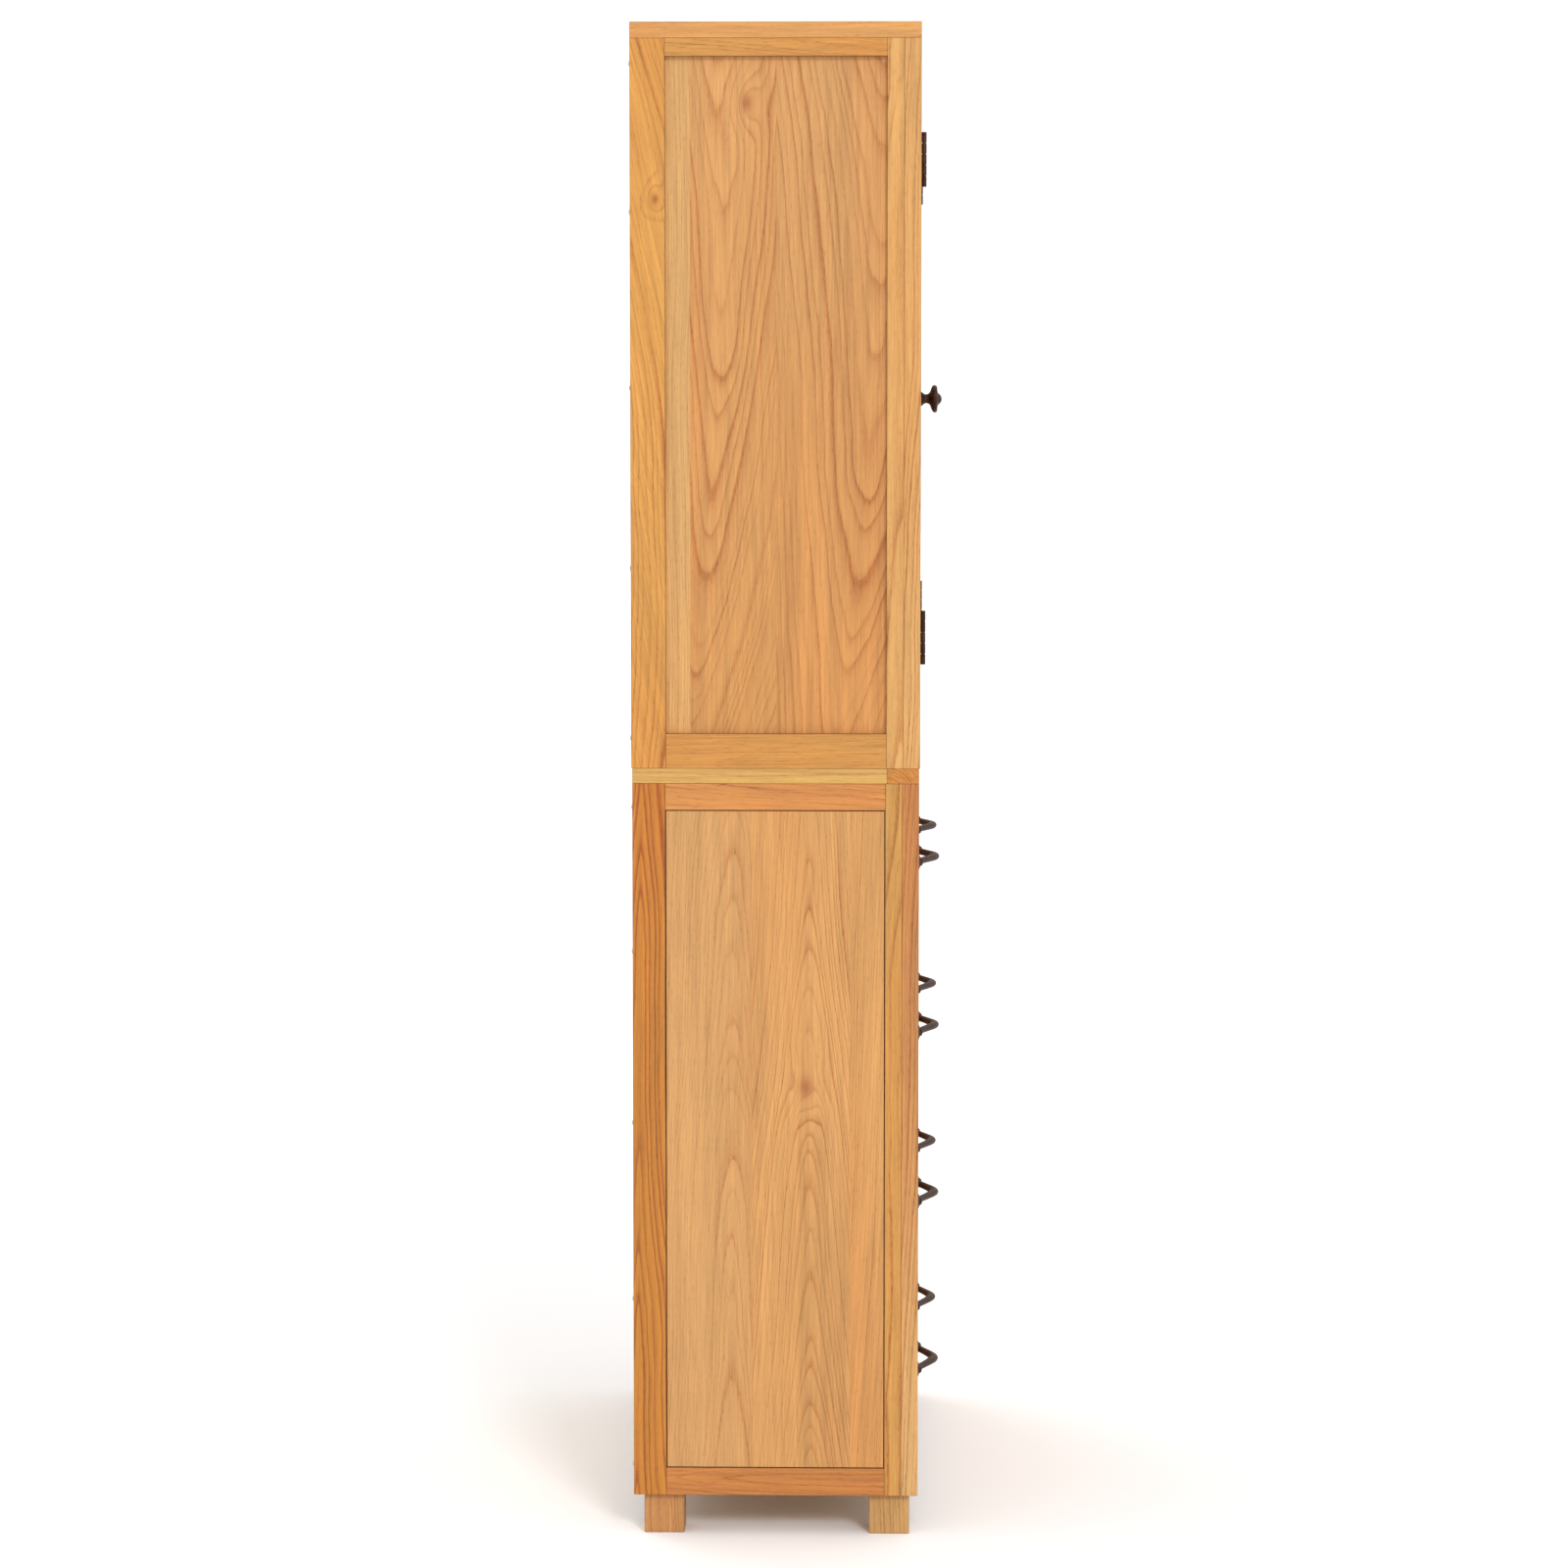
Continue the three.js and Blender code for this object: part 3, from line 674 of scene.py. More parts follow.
# %% [markdown]
# ## A framed panel
# The wide panels sit loose in a groove, so that they can swell without splitting the frame. Only a thin
# tongue enters the groove. We cut the block with two bisects where the tongue's faces lie, select the band
# between them, and push it out on all four sides. Where a panel is glued up from staves, more bisects mark
# the glue lines, and each stave gets its own timber.

# %% Make a panel
TONGUE = 0.008
CLOSE_GAP = 0.00025


def seen_opening(low, high, across):
    """The part of a panel's box that its tongue doesn't hide in the grooves."""
    return tuple((low[axis] + TONGUE, high[axis] - TONGUE) for axis in (across, 2))


def bisect_at(axis, place):
    point, normal = [0, 0, 0], [0, 0, 0]
    point[axis], normal[axis] = place, 1
    bpy.ops.mesh.bisect(plane_co=point, plane_no=normal)


def select_faces(piece, test):
    """Selects, in object mode, the faces for which test(centre, normal) holds."""
    mesh = piece.data
    mesh.vertices.foreach_set("select", [False] * len(mesh.vertices))
    mesh.edges.foreach_set("select", [False] * len(mesh.edges))
    mesh.polygons.foreach_set("select", [bool(test(f.center, f.normal)) for f in mesh.polygons])


def frame_boards(low, high, opening, across):
    """The four boards round an opening, ((start, end) across, (bottom, top)), each as (low, high, grain).

    First come the stiles, at the low end and at the high end of the across axis, then the top and bottom rails.
    """
    (start, end), (bottom, top) = opening

    def moved(corner, place=None, height=None):
        corner = Vector(corner)
        corner[across] = corner[across] if place is None else place
        corner.z = corner.z if height is None else height
        return corner

    rails = "xy"[across]
    return [
        (low, moved(high, start), "z"), (moved(low, end), high, "z"),
        (moved(low, start, top), moved(high, end), rails), (moved(low, start), moved(high, end, bottom), rails),
    ]


def push_out_band(piece, thin, band, distance):
    """Extrudes the faces round the rim, between two planes on the thin axis, away from the middle."""
    low, high = band

    def on_rim(centre, normal):
        return low < centre[thin] < high and abs(normal[thin]) < 0.5

    select_faces(piece, on_rim)
    bpy.ops.object.mode_set(mode="EDIT")
    bpy.ops.mesh.select_mode(type="FACE")
    bpy.ops.mesh.extrude_region_shrink_fatten(TRANSFORM_OT_shrink_fatten={"value": distance})
    bpy.ops.mesh.select_mode(type="VERT")
    bpy.ops.object.mode_set(mode="OBJECT")


def add_panel(name, node, body, thin, band, gap, across, staves, slot="panel_oak"):
    """A tongued panel in the place of a CAD panel node. staves is [(upper end across, cut), ...]."""
    low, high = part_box(node)
    inner_low, inner_high = Vector(low), Vector(high)
    for axis in range(3):
        if axis != thin:
            inner_low[axis] += TONGUE + gap
            inner_high[axis] -= TONGUE + gap
    piece = start_block(name, inner_low, inner_high)
    cuts = [lambda place=place: bisect_at(thin, place) for place in band]
    cuts += [lambda end=end: bisect_at(across, end) for end, _ in staves[:-1]]
    in_edit(piece, *cuts)
    push_out_band(piece, thin, band, TONGUE + gap)
    boards = [(end, timber(f"{name}_{i}", **cut)) for i, (end, cut) in enumerate(staves)]
    lay_grain(piece, 2, across, boards)
    return finish_piece(piece, WOODS[slot], body, [node])


print("panel tools ready")

# %% [markdown]
# ## The two sides
# Each unit's side is four boards round a panel: a wide rear stile, a narrow front stile, and rails between
# them. The upper panel stands well back from the frame. The lower one is nearly flush, with a fine gap that
# the light can't reach. Both are glued from three staves, two with arches and one with straight grain. The
# colours differ from board to board, as they do in any run of oak: the lower rear stile is the darkest and
# the front stiles the palest. The rear stiles have a rebate up their inner edge, where the back lies.

# %% Sides
TONGUE_BAND = (0.383, 0.389)
LOWER_PANEL_GAP = 0.00125
SHEET_SLACK = 0.00025
PAST_ANY_EDGE = 1
SIDE_CUTS = {
    "upper_rear_stile": dict(
        colour=(222, 157, 77), across=-0.05, out=0.02, taper=-0.02, pitch=0.0078, lean=-0.2, bow=0.25, up=-0.2,
        knot=(-0.009, 0.241, 0.014)),
    "upper_front_stile": dict(
        colour=(226, 168, 101), across=0.05, out=0.01, taper=0.03, pitch=0.006, lean=0.01),
    "upper_top_rail": dict(colour=(214, 151, 77), across=0.02, out=0.03, taper=0.05, figure=0.5),
    "upper_bottom_rail": dict(
        colour=(214, 149, 74), across=0.004, out=0.012, taper=0.03, pitch=0.0035, figure=0.5),
    "lower_rear_stile": dict(
        colour=(207, 133, 44), across=0.012, out=0.012, taper=0.05, pitch=0.0065, figure=1.8, seed=9.0),
    "lower_front_stile": dict(
        colour=(215, 157, 83), across=0.03, out=0.02, taper=0.02, pitch=0.0045, figure=0.8),
    "lower_top_rail": dict(colour=(217, 145, 78), across=0.03, out=0.03, taper=0.09, figure=0.5),
    "lower_bottom_rail": dict(
        colour=(208, 133, 66), across=0.004, out=0.016, taper=0.05, pitch=0.004, figure=0.7),
}
UPPER_STAVES = [
    (0.012, dict(
        colour=(219, 160, 101), low_colour=(214, 149, 85), across=-0.1265, out=0.03, up=-0.338, taper=-0.13,
        pitch=0.0085, lean=0, bow=0.1, seed=3.1, figure=0.8)),
    (0.114, dict(
        colour=(221, 160, 100), low_colour=(214, 150, 86), across=0.0635, out=0.026, up=-0.178, taper=-0.125,
        pitch=0.008, lean=0, bow=0.13, seed=8.4, figure=0.76, knot=(0.0345, 0.3435, 0.02))),
    (BEYOND, dict(
        colour=(222, 170, 110), across=0.2, out=0.02, taper=0.01, pitch=0.0034, lean=0, figure=0.45, seed=21)),
]
LOWER_STAVES = [
    (-0.0755, dict(
        colour=(217, 157, 95), across=0.2, out=0.02, taper=0.01, pitch=0.0036, lean=0.05, figure=0.6, seed=12)),
    (0.041, dict(
        colour=(219, 160, 99), across=-0.041, out=0.022, up=0.05, taper=0.1, pitch=0.0044, lean=0, figure=0.9,
        seed=31, knot=(-0.036, 0.065, 0.023))),
    (BEYOND, dict(
        colour=(217, 160, 103), across=0.052, out=0.034, up=-0.1, taper=0.06, pitch=0.0038, lean=0.01,
        figure=0.5, seed=14)),
]


def add_side(unit, hand, staves, gap):
    frame_node, panel_node = f"{unit}_{hand}_side_frame", f"{unit}_{hand}_side_panel"
    low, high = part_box(frame_node)
    panel_low, panel_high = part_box(panel_node)
    opening = seen_opening(panel_low, panel_high, 1)
    back_low, back_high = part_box(f"{unit}_back_panel")
    slack = Vector((SHEET_SLACK, 0, PAST_ANY_EDGE))
    rebate = (back_low - slack, back_high + slack + Vector((0, PAST_ANY_EDGE, 0)))
    members = ("front_stile", "rear_stile", "top_rail", "bottom_rail")
    for member, board in zip(members, frame_boards(low, high, opening, 1)):
        cut = dict(SIDE_CUTS[f"{unit}_{member}"], rebate=rebate if member == "rear_stile" else None)
        add_board(f"{unit}_{hand}_{member}", *board, replaces=[frame_node], **cut)
    band = TONGUE_BAND if hand == "right" else tuple(-place for place in reversed(TONGUE_BAND))
    add_panel(f"{unit}_{hand}_panel", panel_node, "cabinet", 0, band, gap, 1, staves)


for hand in ("left", "right"):
    add_side("upper", hand, UPPER_STAVES, CLOSE_GAP)
    add_side("lower", hand, LOWER_STAVES, LOWER_PANEL_GAP)

# %% [markdown]
# ## Tops, floor and shelves
# The top board has ends whose grain runs front to back, which keep the wide field flat and show long grain
# on the cabinet's side. The lower unit's top is framed in the same way, with a front rail that runs the
# full width, so its end shows as a small block at the front corner. Inside are the floor and two shelves.

# %% Horizontal boards
END_WIDTH = 0.06
FRONT_RAIL = 0.038
RAIL_CUT = dict(colour=(222, 148, 66), across=0.03, out=0.03, taper=0.02)
TOP_END_CUT = dict(colour=(223, 159, 93), across=0.02, out=0.03, taper=0.03, pitch=0.004, figure=0.5)
LOWER_END_CUT = dict(colour=(223, 173, 99), across=0.01, out=0.02, taper=0.02, figure=0.6)


def add_top(node, prefix, end_cut, front_rail):
    low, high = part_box(node)
    y0 = low.y + front_rail
    if front_rail:
        add_board(f"{prefix}_front_rail", low, (high.x, y0, high.z), "x", replaces=[node], **RAIL_CUT)
    ends = {"left": (low.x, low.x + END_WIDTH), "right": (high.x - END_WIDTH, high.x)}
    for hand, (x0, x1) in ends.items():
        start, end = (x0, y0, low.z), (x1, high.y, high.z)
        add_board(f"{prefix}_{hand}_end", start, end, "y", replaces=[node], **end_cut)
    start, end = (low.x + END_WIDTH, y0, low.z), (high.x - END_WIDTH, high.y, high.z)
    add_board(f"{prefix}_field", start, end, "x", replaces=[node], across=0.02, out=0.06, taper=0.08)


add_top("top_board", "top", TOP_END_CUT, 0)
add_top("lower_top_board", "lower_top", LOWER_END_CUT, FRONT_RAIL)
for node in ("upper_bottom_board", "lower_shelf", "upper_shelf"):
    low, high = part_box(node)
    add_board(f"{node}_plank", low, high, "x", slot="inner_oak", replaces=[node], colour=PALE_OAK)
print("horizontal boards done")

# %% [markdown]
# ## Face frames
# The front of a traditional cabinet is a frame of narrow members that doors and drawers close into. The
# upper one has two stiles and two rails. The lower one adds a muntin down the middle and a short divider
# between each pair of drawers. Their places follow from the doors and drawer fronts and the gaps round
# them.

# %% Face frames
DOOR_GAP = 0.0025
DRAWER_GAP = 0.002
HANDS = ("left", "right")
ROWS = (1, 2, 3, 4)
DRAWERS = [(row, hand) for row in ROWS for hand in HANDS]
MEMBERS = ("left_stile", "right_stile", "top_rail", "bottom_rail")
STILE_CUT = dict(colour=(226, 170, 106), across=0.01, out=0.05, taper=0.04, pitch=0.005)
LOWER_STILE_CUT = dict(STILE_CUT, colour=(200, 130, 72), low_colour=(226, 175, 116), seed=5)


def add_face_frame(prefix, node, boards, stile_cut):
    for member, board in zip(MEMBERS, boards):
        cut = stile_cut if member.endswith("stile") else {}
        add_board(f"{prefix}_{member}", *board, replaces=[node], **cut)


def add_upper_face():
    node = "upper_face_frame"
    low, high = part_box(node)
    left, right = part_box("left_door_frame"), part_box("right_door_frame")
    doorway = (left[0].x - DOOR_GAP, right[1].x + DOOR_GAP), (left[0].z - DOOR_GAP, left[1].z + DOOR_GAP)
    add_face_frame("upper_face", node, frame_boards(low, high, doorway, 0), STILE_CUT)


def drawer_way(row, hand):
    low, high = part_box(f"drawer_{row}_{hand}_front")
    gap = Vector((DRAWER_GAP, 0, DRAWER_GAP))
    return low - gap, high + gap


def add_lower_face():
    node = "lower_face_frame"
    low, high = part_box(node)
    first, last = drawer_way(1, "left"), drawer_way(4, "right")
    opening = (first[0].x, last[1].x), (last[0].z, first[1].z)
    add_face_frame("lower_face", node, frame_boards(low, high, opening, 0), LOWER_STILE_CUT)
    start = (first[1].x, low.y, last[0].z)
    end = (drawer_way(1, "right")[0].x, high.y, first[1].z)
    add_board("lower_face_muntin", start, end, "z", replaces=[node])
    for row in ROWS[:-1]:
        for hand in HANDS:
            above, below = drawer_way(row, hand), drawer_way(row + 1, hand)
            start = (above[0].x, low.y, below[1].z)
            end = (above[1].x, high.y, above[0].z)
            add_board(f"lower_face_divider_{row}_{hand}", start, end, "x", replaces=[node])


add_upper_face()
add_lower_face()

# %% [markdown]
# ## Back panels
# The backs are oak-faced plywood, let into the rear stiles and held by a row of pan-head screws up each
# edge. A sheet's edge shows its plies as thin pale and dark stripes, but here the stiles hide it, so one
# eased board with a quiet figure is enough.

# %% Backs
SCREW_HEAD = 0.002
SHEET_EASE = 0.0004
HEARTS = {"upper": 0.05, "lower": -0.14}


def add_back(unit, heart):
    node = f"{unit}_back_panel"
    low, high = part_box(node)
    sheet_high = Vector(high)
    sheet_high.y -= SCREW_HEAD
    cut = dict(colour=(214, 172, 122), across=heart, out=0.12, taper=0.16, pitch=0.008)
    sheet_is = dict(slot="plywood", replaces=[node], ease=SHEET_EASE)
    add_board(f"{unit}_back_sheet", low, sheet_high, "z", **sheet_is, **cut)


for unit, heart in HEARTS.items():
    add_back(unit, heart)
print("back sheets done")

# %% [markdown]
# ## Doors
# Each door is a mortise and tenon frame with a flat panel, hung inside the face frame with an even gap.
# The stiles run the full height and the rails fit between them. The two panels are cut from one plank, so
# their arches match when the doors are shut.

# %% Doors
DOOR_BAND = (0.008, 0.014)
DOOR_PANEL_CUT = dict(colour=PANEL_TAN, across=0.01, out=0.05, up=0, taper=0.1, pitch=0.0065, seed=17)


def add_door(hand):
    body, frame_node, panel_node = f"{hand}_door", f"{hand}_door_frame", f"{hand}_door_panel"
    low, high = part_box(frame_node)
    panel_low, panel_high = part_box(panel_node)
    opening = seen_opening(panel_low, panel_high, 0)
    for member, board in zip(MEMBERS, frame_boards(low, high, opening, 0)):
        add_board(f"{hand}_door_{member}", *board, body=body, replaces=[frame_node])
    band = tuple(low.y + depth for depth in DOOR_BAND)
    add_panel(f"{hand}_door_field", panel_node, body, 1, band, CLOSE_GAP, 0, [(BEYOND, DOOR_PANEL_CUT)])


for hand in HANDS:
    add_door(hand)

# %% [markdown]
# ## Drawers
# A drawer is a plain front screwed to a separate box. The box is lighter timber: two long sides, an inner
# front and a back between them, and a thin bottom let into a groove a little way up.

# %% Drawers
WALL = 0.012
FLOOR_UP = 0.004
FLOOR_THICKNESS = 0.005
BACK_DROP = 0.012


def add_drawer(row, hand):
    body = f"drawer_{row}_{hand}"
    low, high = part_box(f"{body}_front")
    front_is = dict(body=body, slot="panel_oak", replaces=[f"{body}_front"])
    add_board(f"{body}_face", low, high, "x", **front_is, colour=PANEL_TAN, taper=0.08, pitch=0.006)
    node = f"{body}_box"
    low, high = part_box(node)
    x0, x1, y0, y1 = low.x + WALL, high.x - WALL, low.y + WALL, high.y - WALL
    walls = {
        "left_side": (low, (x0, high.y, high.z), "y"),
        "right_side": ((x1, low.y, low.z), high, "y"),
        "inner_front": ((x0, low.y, low.z), (x1, y0, high.z), "x"),
        "back": ((x0, y1, low.z), (x1, high.y, high.z - BACK_DROP), "x"),
        "bottom": ((x0, y0, low.z + FLOOR_UP), (x1, y1, low.z + FLOOR_UP + FLOOR_THICKNESS), "x"),
    }
    for wall, (start, end, along) in walls.items():
        wall_is = dict(body=body, slot="plywood" if wall == "bottom" else "inner_oak", replaces=[node])
        add_board(f"{body}_{wall}", start, end, along, **wall_is, colour=PALE_OAK)


for row, hand in DRAWERS:
    add_drawer(row, hand)

# %% [markdown]
# ## The drawer rack
# Behind the lower face frame a partition stands on the bottom board, and a dust board under each row keeps
# crumbs out of the drawer below. Strips along both edges of every way guide the drawer as it slides.

# %% Rack
BOTTOM_BOARD = 0.018
DUST_BOARD = 0.012
PARTITION = 0.02
GUIDE_HEIGHT = 0.02


def add_rack():
    node = "drawer_rack"
    low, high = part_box(node)

    def rack_board(name, start, end, along):
        add_board(name, start, end, along, slot="inner_oak", replaces=[node], colour=PALE_OAK)

    floor_top = low.z + BOTTOM_BOARD
    rack_board("rack_bottom_board", low, (high.x, high.y, floor_top), "x")
    half = PARTITION / 2
    rack_board("rack_partition", (-half, low.y, floor_top), (half, high.y, high.z), "z")
    for row, hand in DRAWERS:
        way_low, way_high = drawer_way(row, hand)
        outer = (way_high.x, high.x) if hand == "right" else (low.x, way_low.x)
        inner = (half, way_low.x) if hand == "right" else (way_high.x, -half)
        reach = (min(outer[0], inner[0]), max(outer[1], inner[1]))
        if row < ROWS[-1]:
            start = (reach[0], low.y, way_low.z - DUST_BOARD)
            rack_board(f"dust_board_{row}_{hand}", start, (reach[1], high.y, way_low.z), "x")
        for side, (x0, x1) in {"outer": outer, "inner": inner}.items():
            start = (x0, low.y, way_low.z)
            end = (x1, high.y, way_low.z + GUIDE_HEIGHT)
            rack_board(f"guide_{row}_{hand}_{side}", start, end, "y")


add_rack()
print("rack boards done")

# %% [markdown]
# ## Feet
# The square feet are short offcuts whose edges are eased a little more than the boards', so that they slide
# without lifting a splinter. A stub on top stands inside the corner of the carcass. Each foot is two blocks,
# the post and the stub, joined into one object.

# %% Feet
FOOT_HEIGHT = 0.049
FOOT_EASE = 0.0012
CARCASS_INSIDE = 0.38
FOOT_COLOURS = {"front": (209, 160, 104), "rear": (206, 147, 93)}


def add_foot(end, hand):
    node = f"{end}_{hand}_foot"
    low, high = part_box(node)
    post = start_block(f"{node}_post", low, (high.x, high.y, FOOT_HEIGHT))
    ease_edges(post, FOOT_EASE, 3)
    x_range = max(low.x, -CARCASS_INSIDE), min(high.x, CARCASS_INSIDE)
    y_start = max(low.y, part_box("lower_face_frame")[1].y)
    stub = start_block("stub", (x_range[0], y_start, FOOT_HEIGHT), (x_range[1], high.y, high.z))
    ease_edges(stub)
    cut = timber(node, colour=FOOT_COLOURS[end], taper=0.03, pitch=0.0045)
    for part in (post, stub):
        lay_grain(part, 2, 1, [(BEYOND, cut)])
    post.select_set(True)
    stub.select_set(True)
    bpy.context.view_layer.objects.active = post
    bpy.ops.object.join()
    finish_piece(post, WOODS["foot_oak"], "cabinet", [node])


for end in ("front", "rear"):
    for hand in HANDS:
        add_foot(end, hand)
print("feet done")

# %% [markdown]
# ## Turned pieces
# A knob, a pin and a screw head are all turned on a lathe. We add a filled circle, then extrude it along
# the axis ring by ring and scale each new ring to the radius wanted there. It's the same thing that the
# lathe tool does, and the rings stay evenly spaced round the axis.

# %% Turn a piece
MM = 0.001
TURN_AXES = {
    "-y": ((math.pi / 2, 0, 0), Vector((0, -1, 0))),
    "+y": ((-math.pi / 2, 0, 0), Vector((0, 1, 0))),
    "+x": ((0, math.pi / 2, 0), Vector((1, 0, 0))),
    "-x": ((0, -math.pi / 2, 0), Vector((-1, 0, 0))),
    "+z": ((0, 0, 0), Vector((0, 0, 1))),
}


def turn_piece(name, centre, axis, outline, segments=40, smooth_angle=40):
    """Turns outline, a list of (distance along the axis, radius), on a lathe that starts at centre."""
    turn, way = TURN_AXES[axis]
    centre = Vector(centre)
    start, radius = outline[0]
    bpy.ops.object.select_all(action="DESELECT")
    bpy.ops.mesh.primitive_circle_add(
        vertices=segments, radius=radius, fill_type="NGON", location=centre + way * start, rotation=turn)
    piece = bpy.context.object
    piece.name = name
    piece.data.name = name
    bpy.ops.object.transform_apply(location=True, rotation=True, scale=True)
    bpy.ops.object.mode_set(mode="EDIT")
    bpy.ops.mesh.select_all(action="SELECT")
    for distance, wanted in outline[1:]:
        step = way * (distance - start)
        bpy.ops.mesh.extrude_region_move(TRANSFORM_OT_translate={"value": step})
        scale = (wanted / radius,) * 3
        bpy.ops.transform.resize(value=scale, center_override=centre + way * distance)
        start, radius = distance, wanted
    bpy.ops.mesh.select_all(action="SELECT")
    bpy.ops.mesh.normals_make_consistent(inside=False)
    bpy.ops.object.mode_set(mode="OBJECT")
    bpy.ops.object.shade_smooth_by_angle(angle=math.radians(smooth_angle))
    return piece


def in_metres(outline):
    return [(distance * MM, radius * MM) for distance, radius in outline]


def curve_through(points, between):
    """More points on a smooth curve through the given (distance, radius) points."""
    more = []
    last = len(points) - 1
    for i in range(last):
        before, here, there, after = (points[min(max(j, 0), last)] for j in (i - 1, i, i + 1, i + 2))
        for step in range(between):
            t = step / between
            more.append(tuple(
                0.5 * (2 * b + (c - a) * t + (2 * a - 5 * b + 4 * c - d) * t * t
                       + (3 * b - a - 3 * c + d) * t ** 3)
                for a, b, c, d in zip(before, here, there, after)))
    return more + [points[-1]]


def copy_to(piece, name, shift):
    """A copy with its own mesh, moved in the mesh so that the object stays at the origin."""
    made = piece.copy()
    made.data = piece.data.copy()
    made.name = name
    made.data.name = name
    made.data.transform(Matrix.Translation(Vector(shift)))
    bpy.context.scene.collection.objects.link(made)
    return made


print("lathe ready")

# %% [markdown]
# ## Knobs
# The knob has a spreading base, a waist, a mushroom head with a rolled rim, and a little button in the
# middle of its face. Its outline is short, and a smooth curve through it gives the turning.

# %% Knobs
KNOB_OUTLINE = [
    (0.0, 9.4), (1.2, 9.2), (2.6, 8.7), (5.0, 6.8), (7.6, 5.3), (10.6, 5.6), (12.7, 7.0), (14.2, 9.6),
    (15.6, 13.6), (17.3, 16.2), (19.6, 16.85), (21.4, 16.2), (22.3, 14.4), (22.4, 11.5), (23.2, 8.2),
    (24.6, 6.4), (26.2, 4.9), (27.5, 2.6), (27.95, 0.4),
]


def add_knob(hand):
    node = f"{hand}_door_knob"
    low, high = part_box(node)
    centre = ((low.x + high.x) / 2, high.y, (low.z + high.z) / 2)
    knob = turn_piece(f"{hand}_knob", centre, "-y", in_metres(curve_through(KNOB_OUTLINE, 3)), 48, 60)
    finish_piece(knob, BRONZE, f"{hand}_door", [node])


for hand in HANDS:
    add_knob(hand)
print("knob rings:", len(curve_through(KNOB_OUTLINE, 3)))

# %% [markdown]
# ## Bow pulls
# A pull is a bar that leans out from two round feet and turns over at the middle, where it is thickest. We
# extrude a ring along the bow, moving each new ring out by a hyperbola and scaling it to the bar's
# thickness there. One pull is made and copied to every drawer.

# %% Pulls
BOW = {"reach": 0.062, "point_out": 0.0262, "slope": 0.427, "turn": 0.0057}
BAR_THIN, BAR_THICK = 0.0040, 0.0056
BAR_HEIGHT_THIN, BAR_HEIGHT_THICK = 0.0040, 0.0046
PULL_FOOT = [(0.0, 9.3), (0.8, 9.35), (1.4, 8.5), (1.9, 6.8), (2.6, 5.5), (3.9, 4.6), (5.2, 3.4), (5.7, 1.0)]
FOOT_CENTRE = 0.066
SWELL, TURN_SPAN = 0.026, 0.02
BAR_STEPS = 56
BAR_BACK = 0.0002


def bow_out(x):
    return BOW["point_out"] - math.hypot(BOW["slope"] * x, BOW["turn"])


def bar_size(x):
    """The ring's half depth and half height at x. A leaning bar is cut at a slant, so its ring is deeper."""
    share = math.exp(-(x / SWELL) ** 2)
    lean = 1 / math.cos(math.atan(BOW["slope"] * min(1, abs(x) / TURN_SPAN)))
    thick = BAR_THIN + (BAR_THICK - BAR_THIN) * share
    return thick * lean, BAR_HEIGHT_THIN + (BAR_HEIGHT_THICK - BAR_HEIGHT_THIN) * share


def make_bar(centre):
    places = [BOW["reach"] * (2 * i / BAR_STEPS - 1) for i in range(BAR_STEPS + 1)]
    bpy.ops.object.select_all(action="DESELECT")
    first = places[0]
    deep, tall = bar_size(first)
    tip = centre + Vector((first, -bow_out(first), 0))
    bpy.ops.mesh.primitive_circle_add(
        vertices=24, radius=tall, fill_type="NGON", location=tip, rotation=(0, math.pi / 2, 0))
    bar = bpy.context.object
    bpy.ops.object.transform_apply(location=True, rotation=True, scale=True)
    bpy.ops.object.mode_set(mode="EDIT")
    bpy.ops.mesh.select_all(action="SELECT")
    bpy.ops.transform.resize(value=(1, deep / tall, 1), center_override=tip)
    for before, here in zip(places, places[1:]):
        step = (here - before, bow_out(before) - bow_out(here), 0)
        bpy.ops.mesh.extrude_region_move(TRANSFORM_OT_translate={"value": step})
        new_deep, new_tall = bar_size(here)
        middle = centre + Vector((here, -bow_out(here), 0))
        bpy.ops.transform.resize(value=(1, new_deep / deep, new_tall / tall), center_override=middle)
        deep, tall = new_deep, new_tall
    bpy.ops.mesh.select_all(action="SELECT")
    bpy.ops.mesh.normals_make_consistent(inside=False)
    behind = centre + Vector((0, -BAR_BACK, 0))
    bpy.ops.mesh.bisect(plane_co=behind, plane_no=(0, 1, 0), clear_outer=True, use_fill=True)
    bpy.ops.object.mode_set(mode="OBJECT")
    bpy.ops.object.shade_smooth_by_angle(angle=math.radians(60))
    return bar


def make_pull(centre):
    bar = make_bar(centre)
    outline = in_metres(curve_through(PULL_FOOT, 2))
    spots = [centre + Vector((side * FOOT_CENTRE, 0, 0)) for side in (-1, 1)]
    return combine(bar, "UNION", [turn_piece("pull_foot", spot, "-y", outline, 32, 50) for spot in spots])


def pull_centre(row, hand):
    low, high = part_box(f"drawer_{row}_{hand}_pull")
    return Vector(((low.x + high.x) / 2, high.y, (low.z + high.z) / 2))


pull_home = pull_centre(1, "left")
first_pull = make_pull(pull_home)
for row, hand in DRAWERS:
    pull = copy_to(first_pull, f"pull_{row}_{hand}", pull_centre(row, hand) - pull_home)
    finish_piece(pull, BRONZE, f"drawer_{row}_{hand}", [f"drawer_{row}_{hand}_pull"])
bpy.data.objects.remove(first_pull)
print("pulls: 8, faces each:", len(pull.data.polygons))

# %% [markdown]
# ## Butt hinges
# The doors turn on butt hinges. Only the barrels stand proud of the front: five knuckles, three on the
# frame's leaf and two on the door's, with the pin through them. Each leaf is a thin plate let into the gap.
# The pin is part of the frame's leaf, and the door's two knuckles are bored to turn on it.

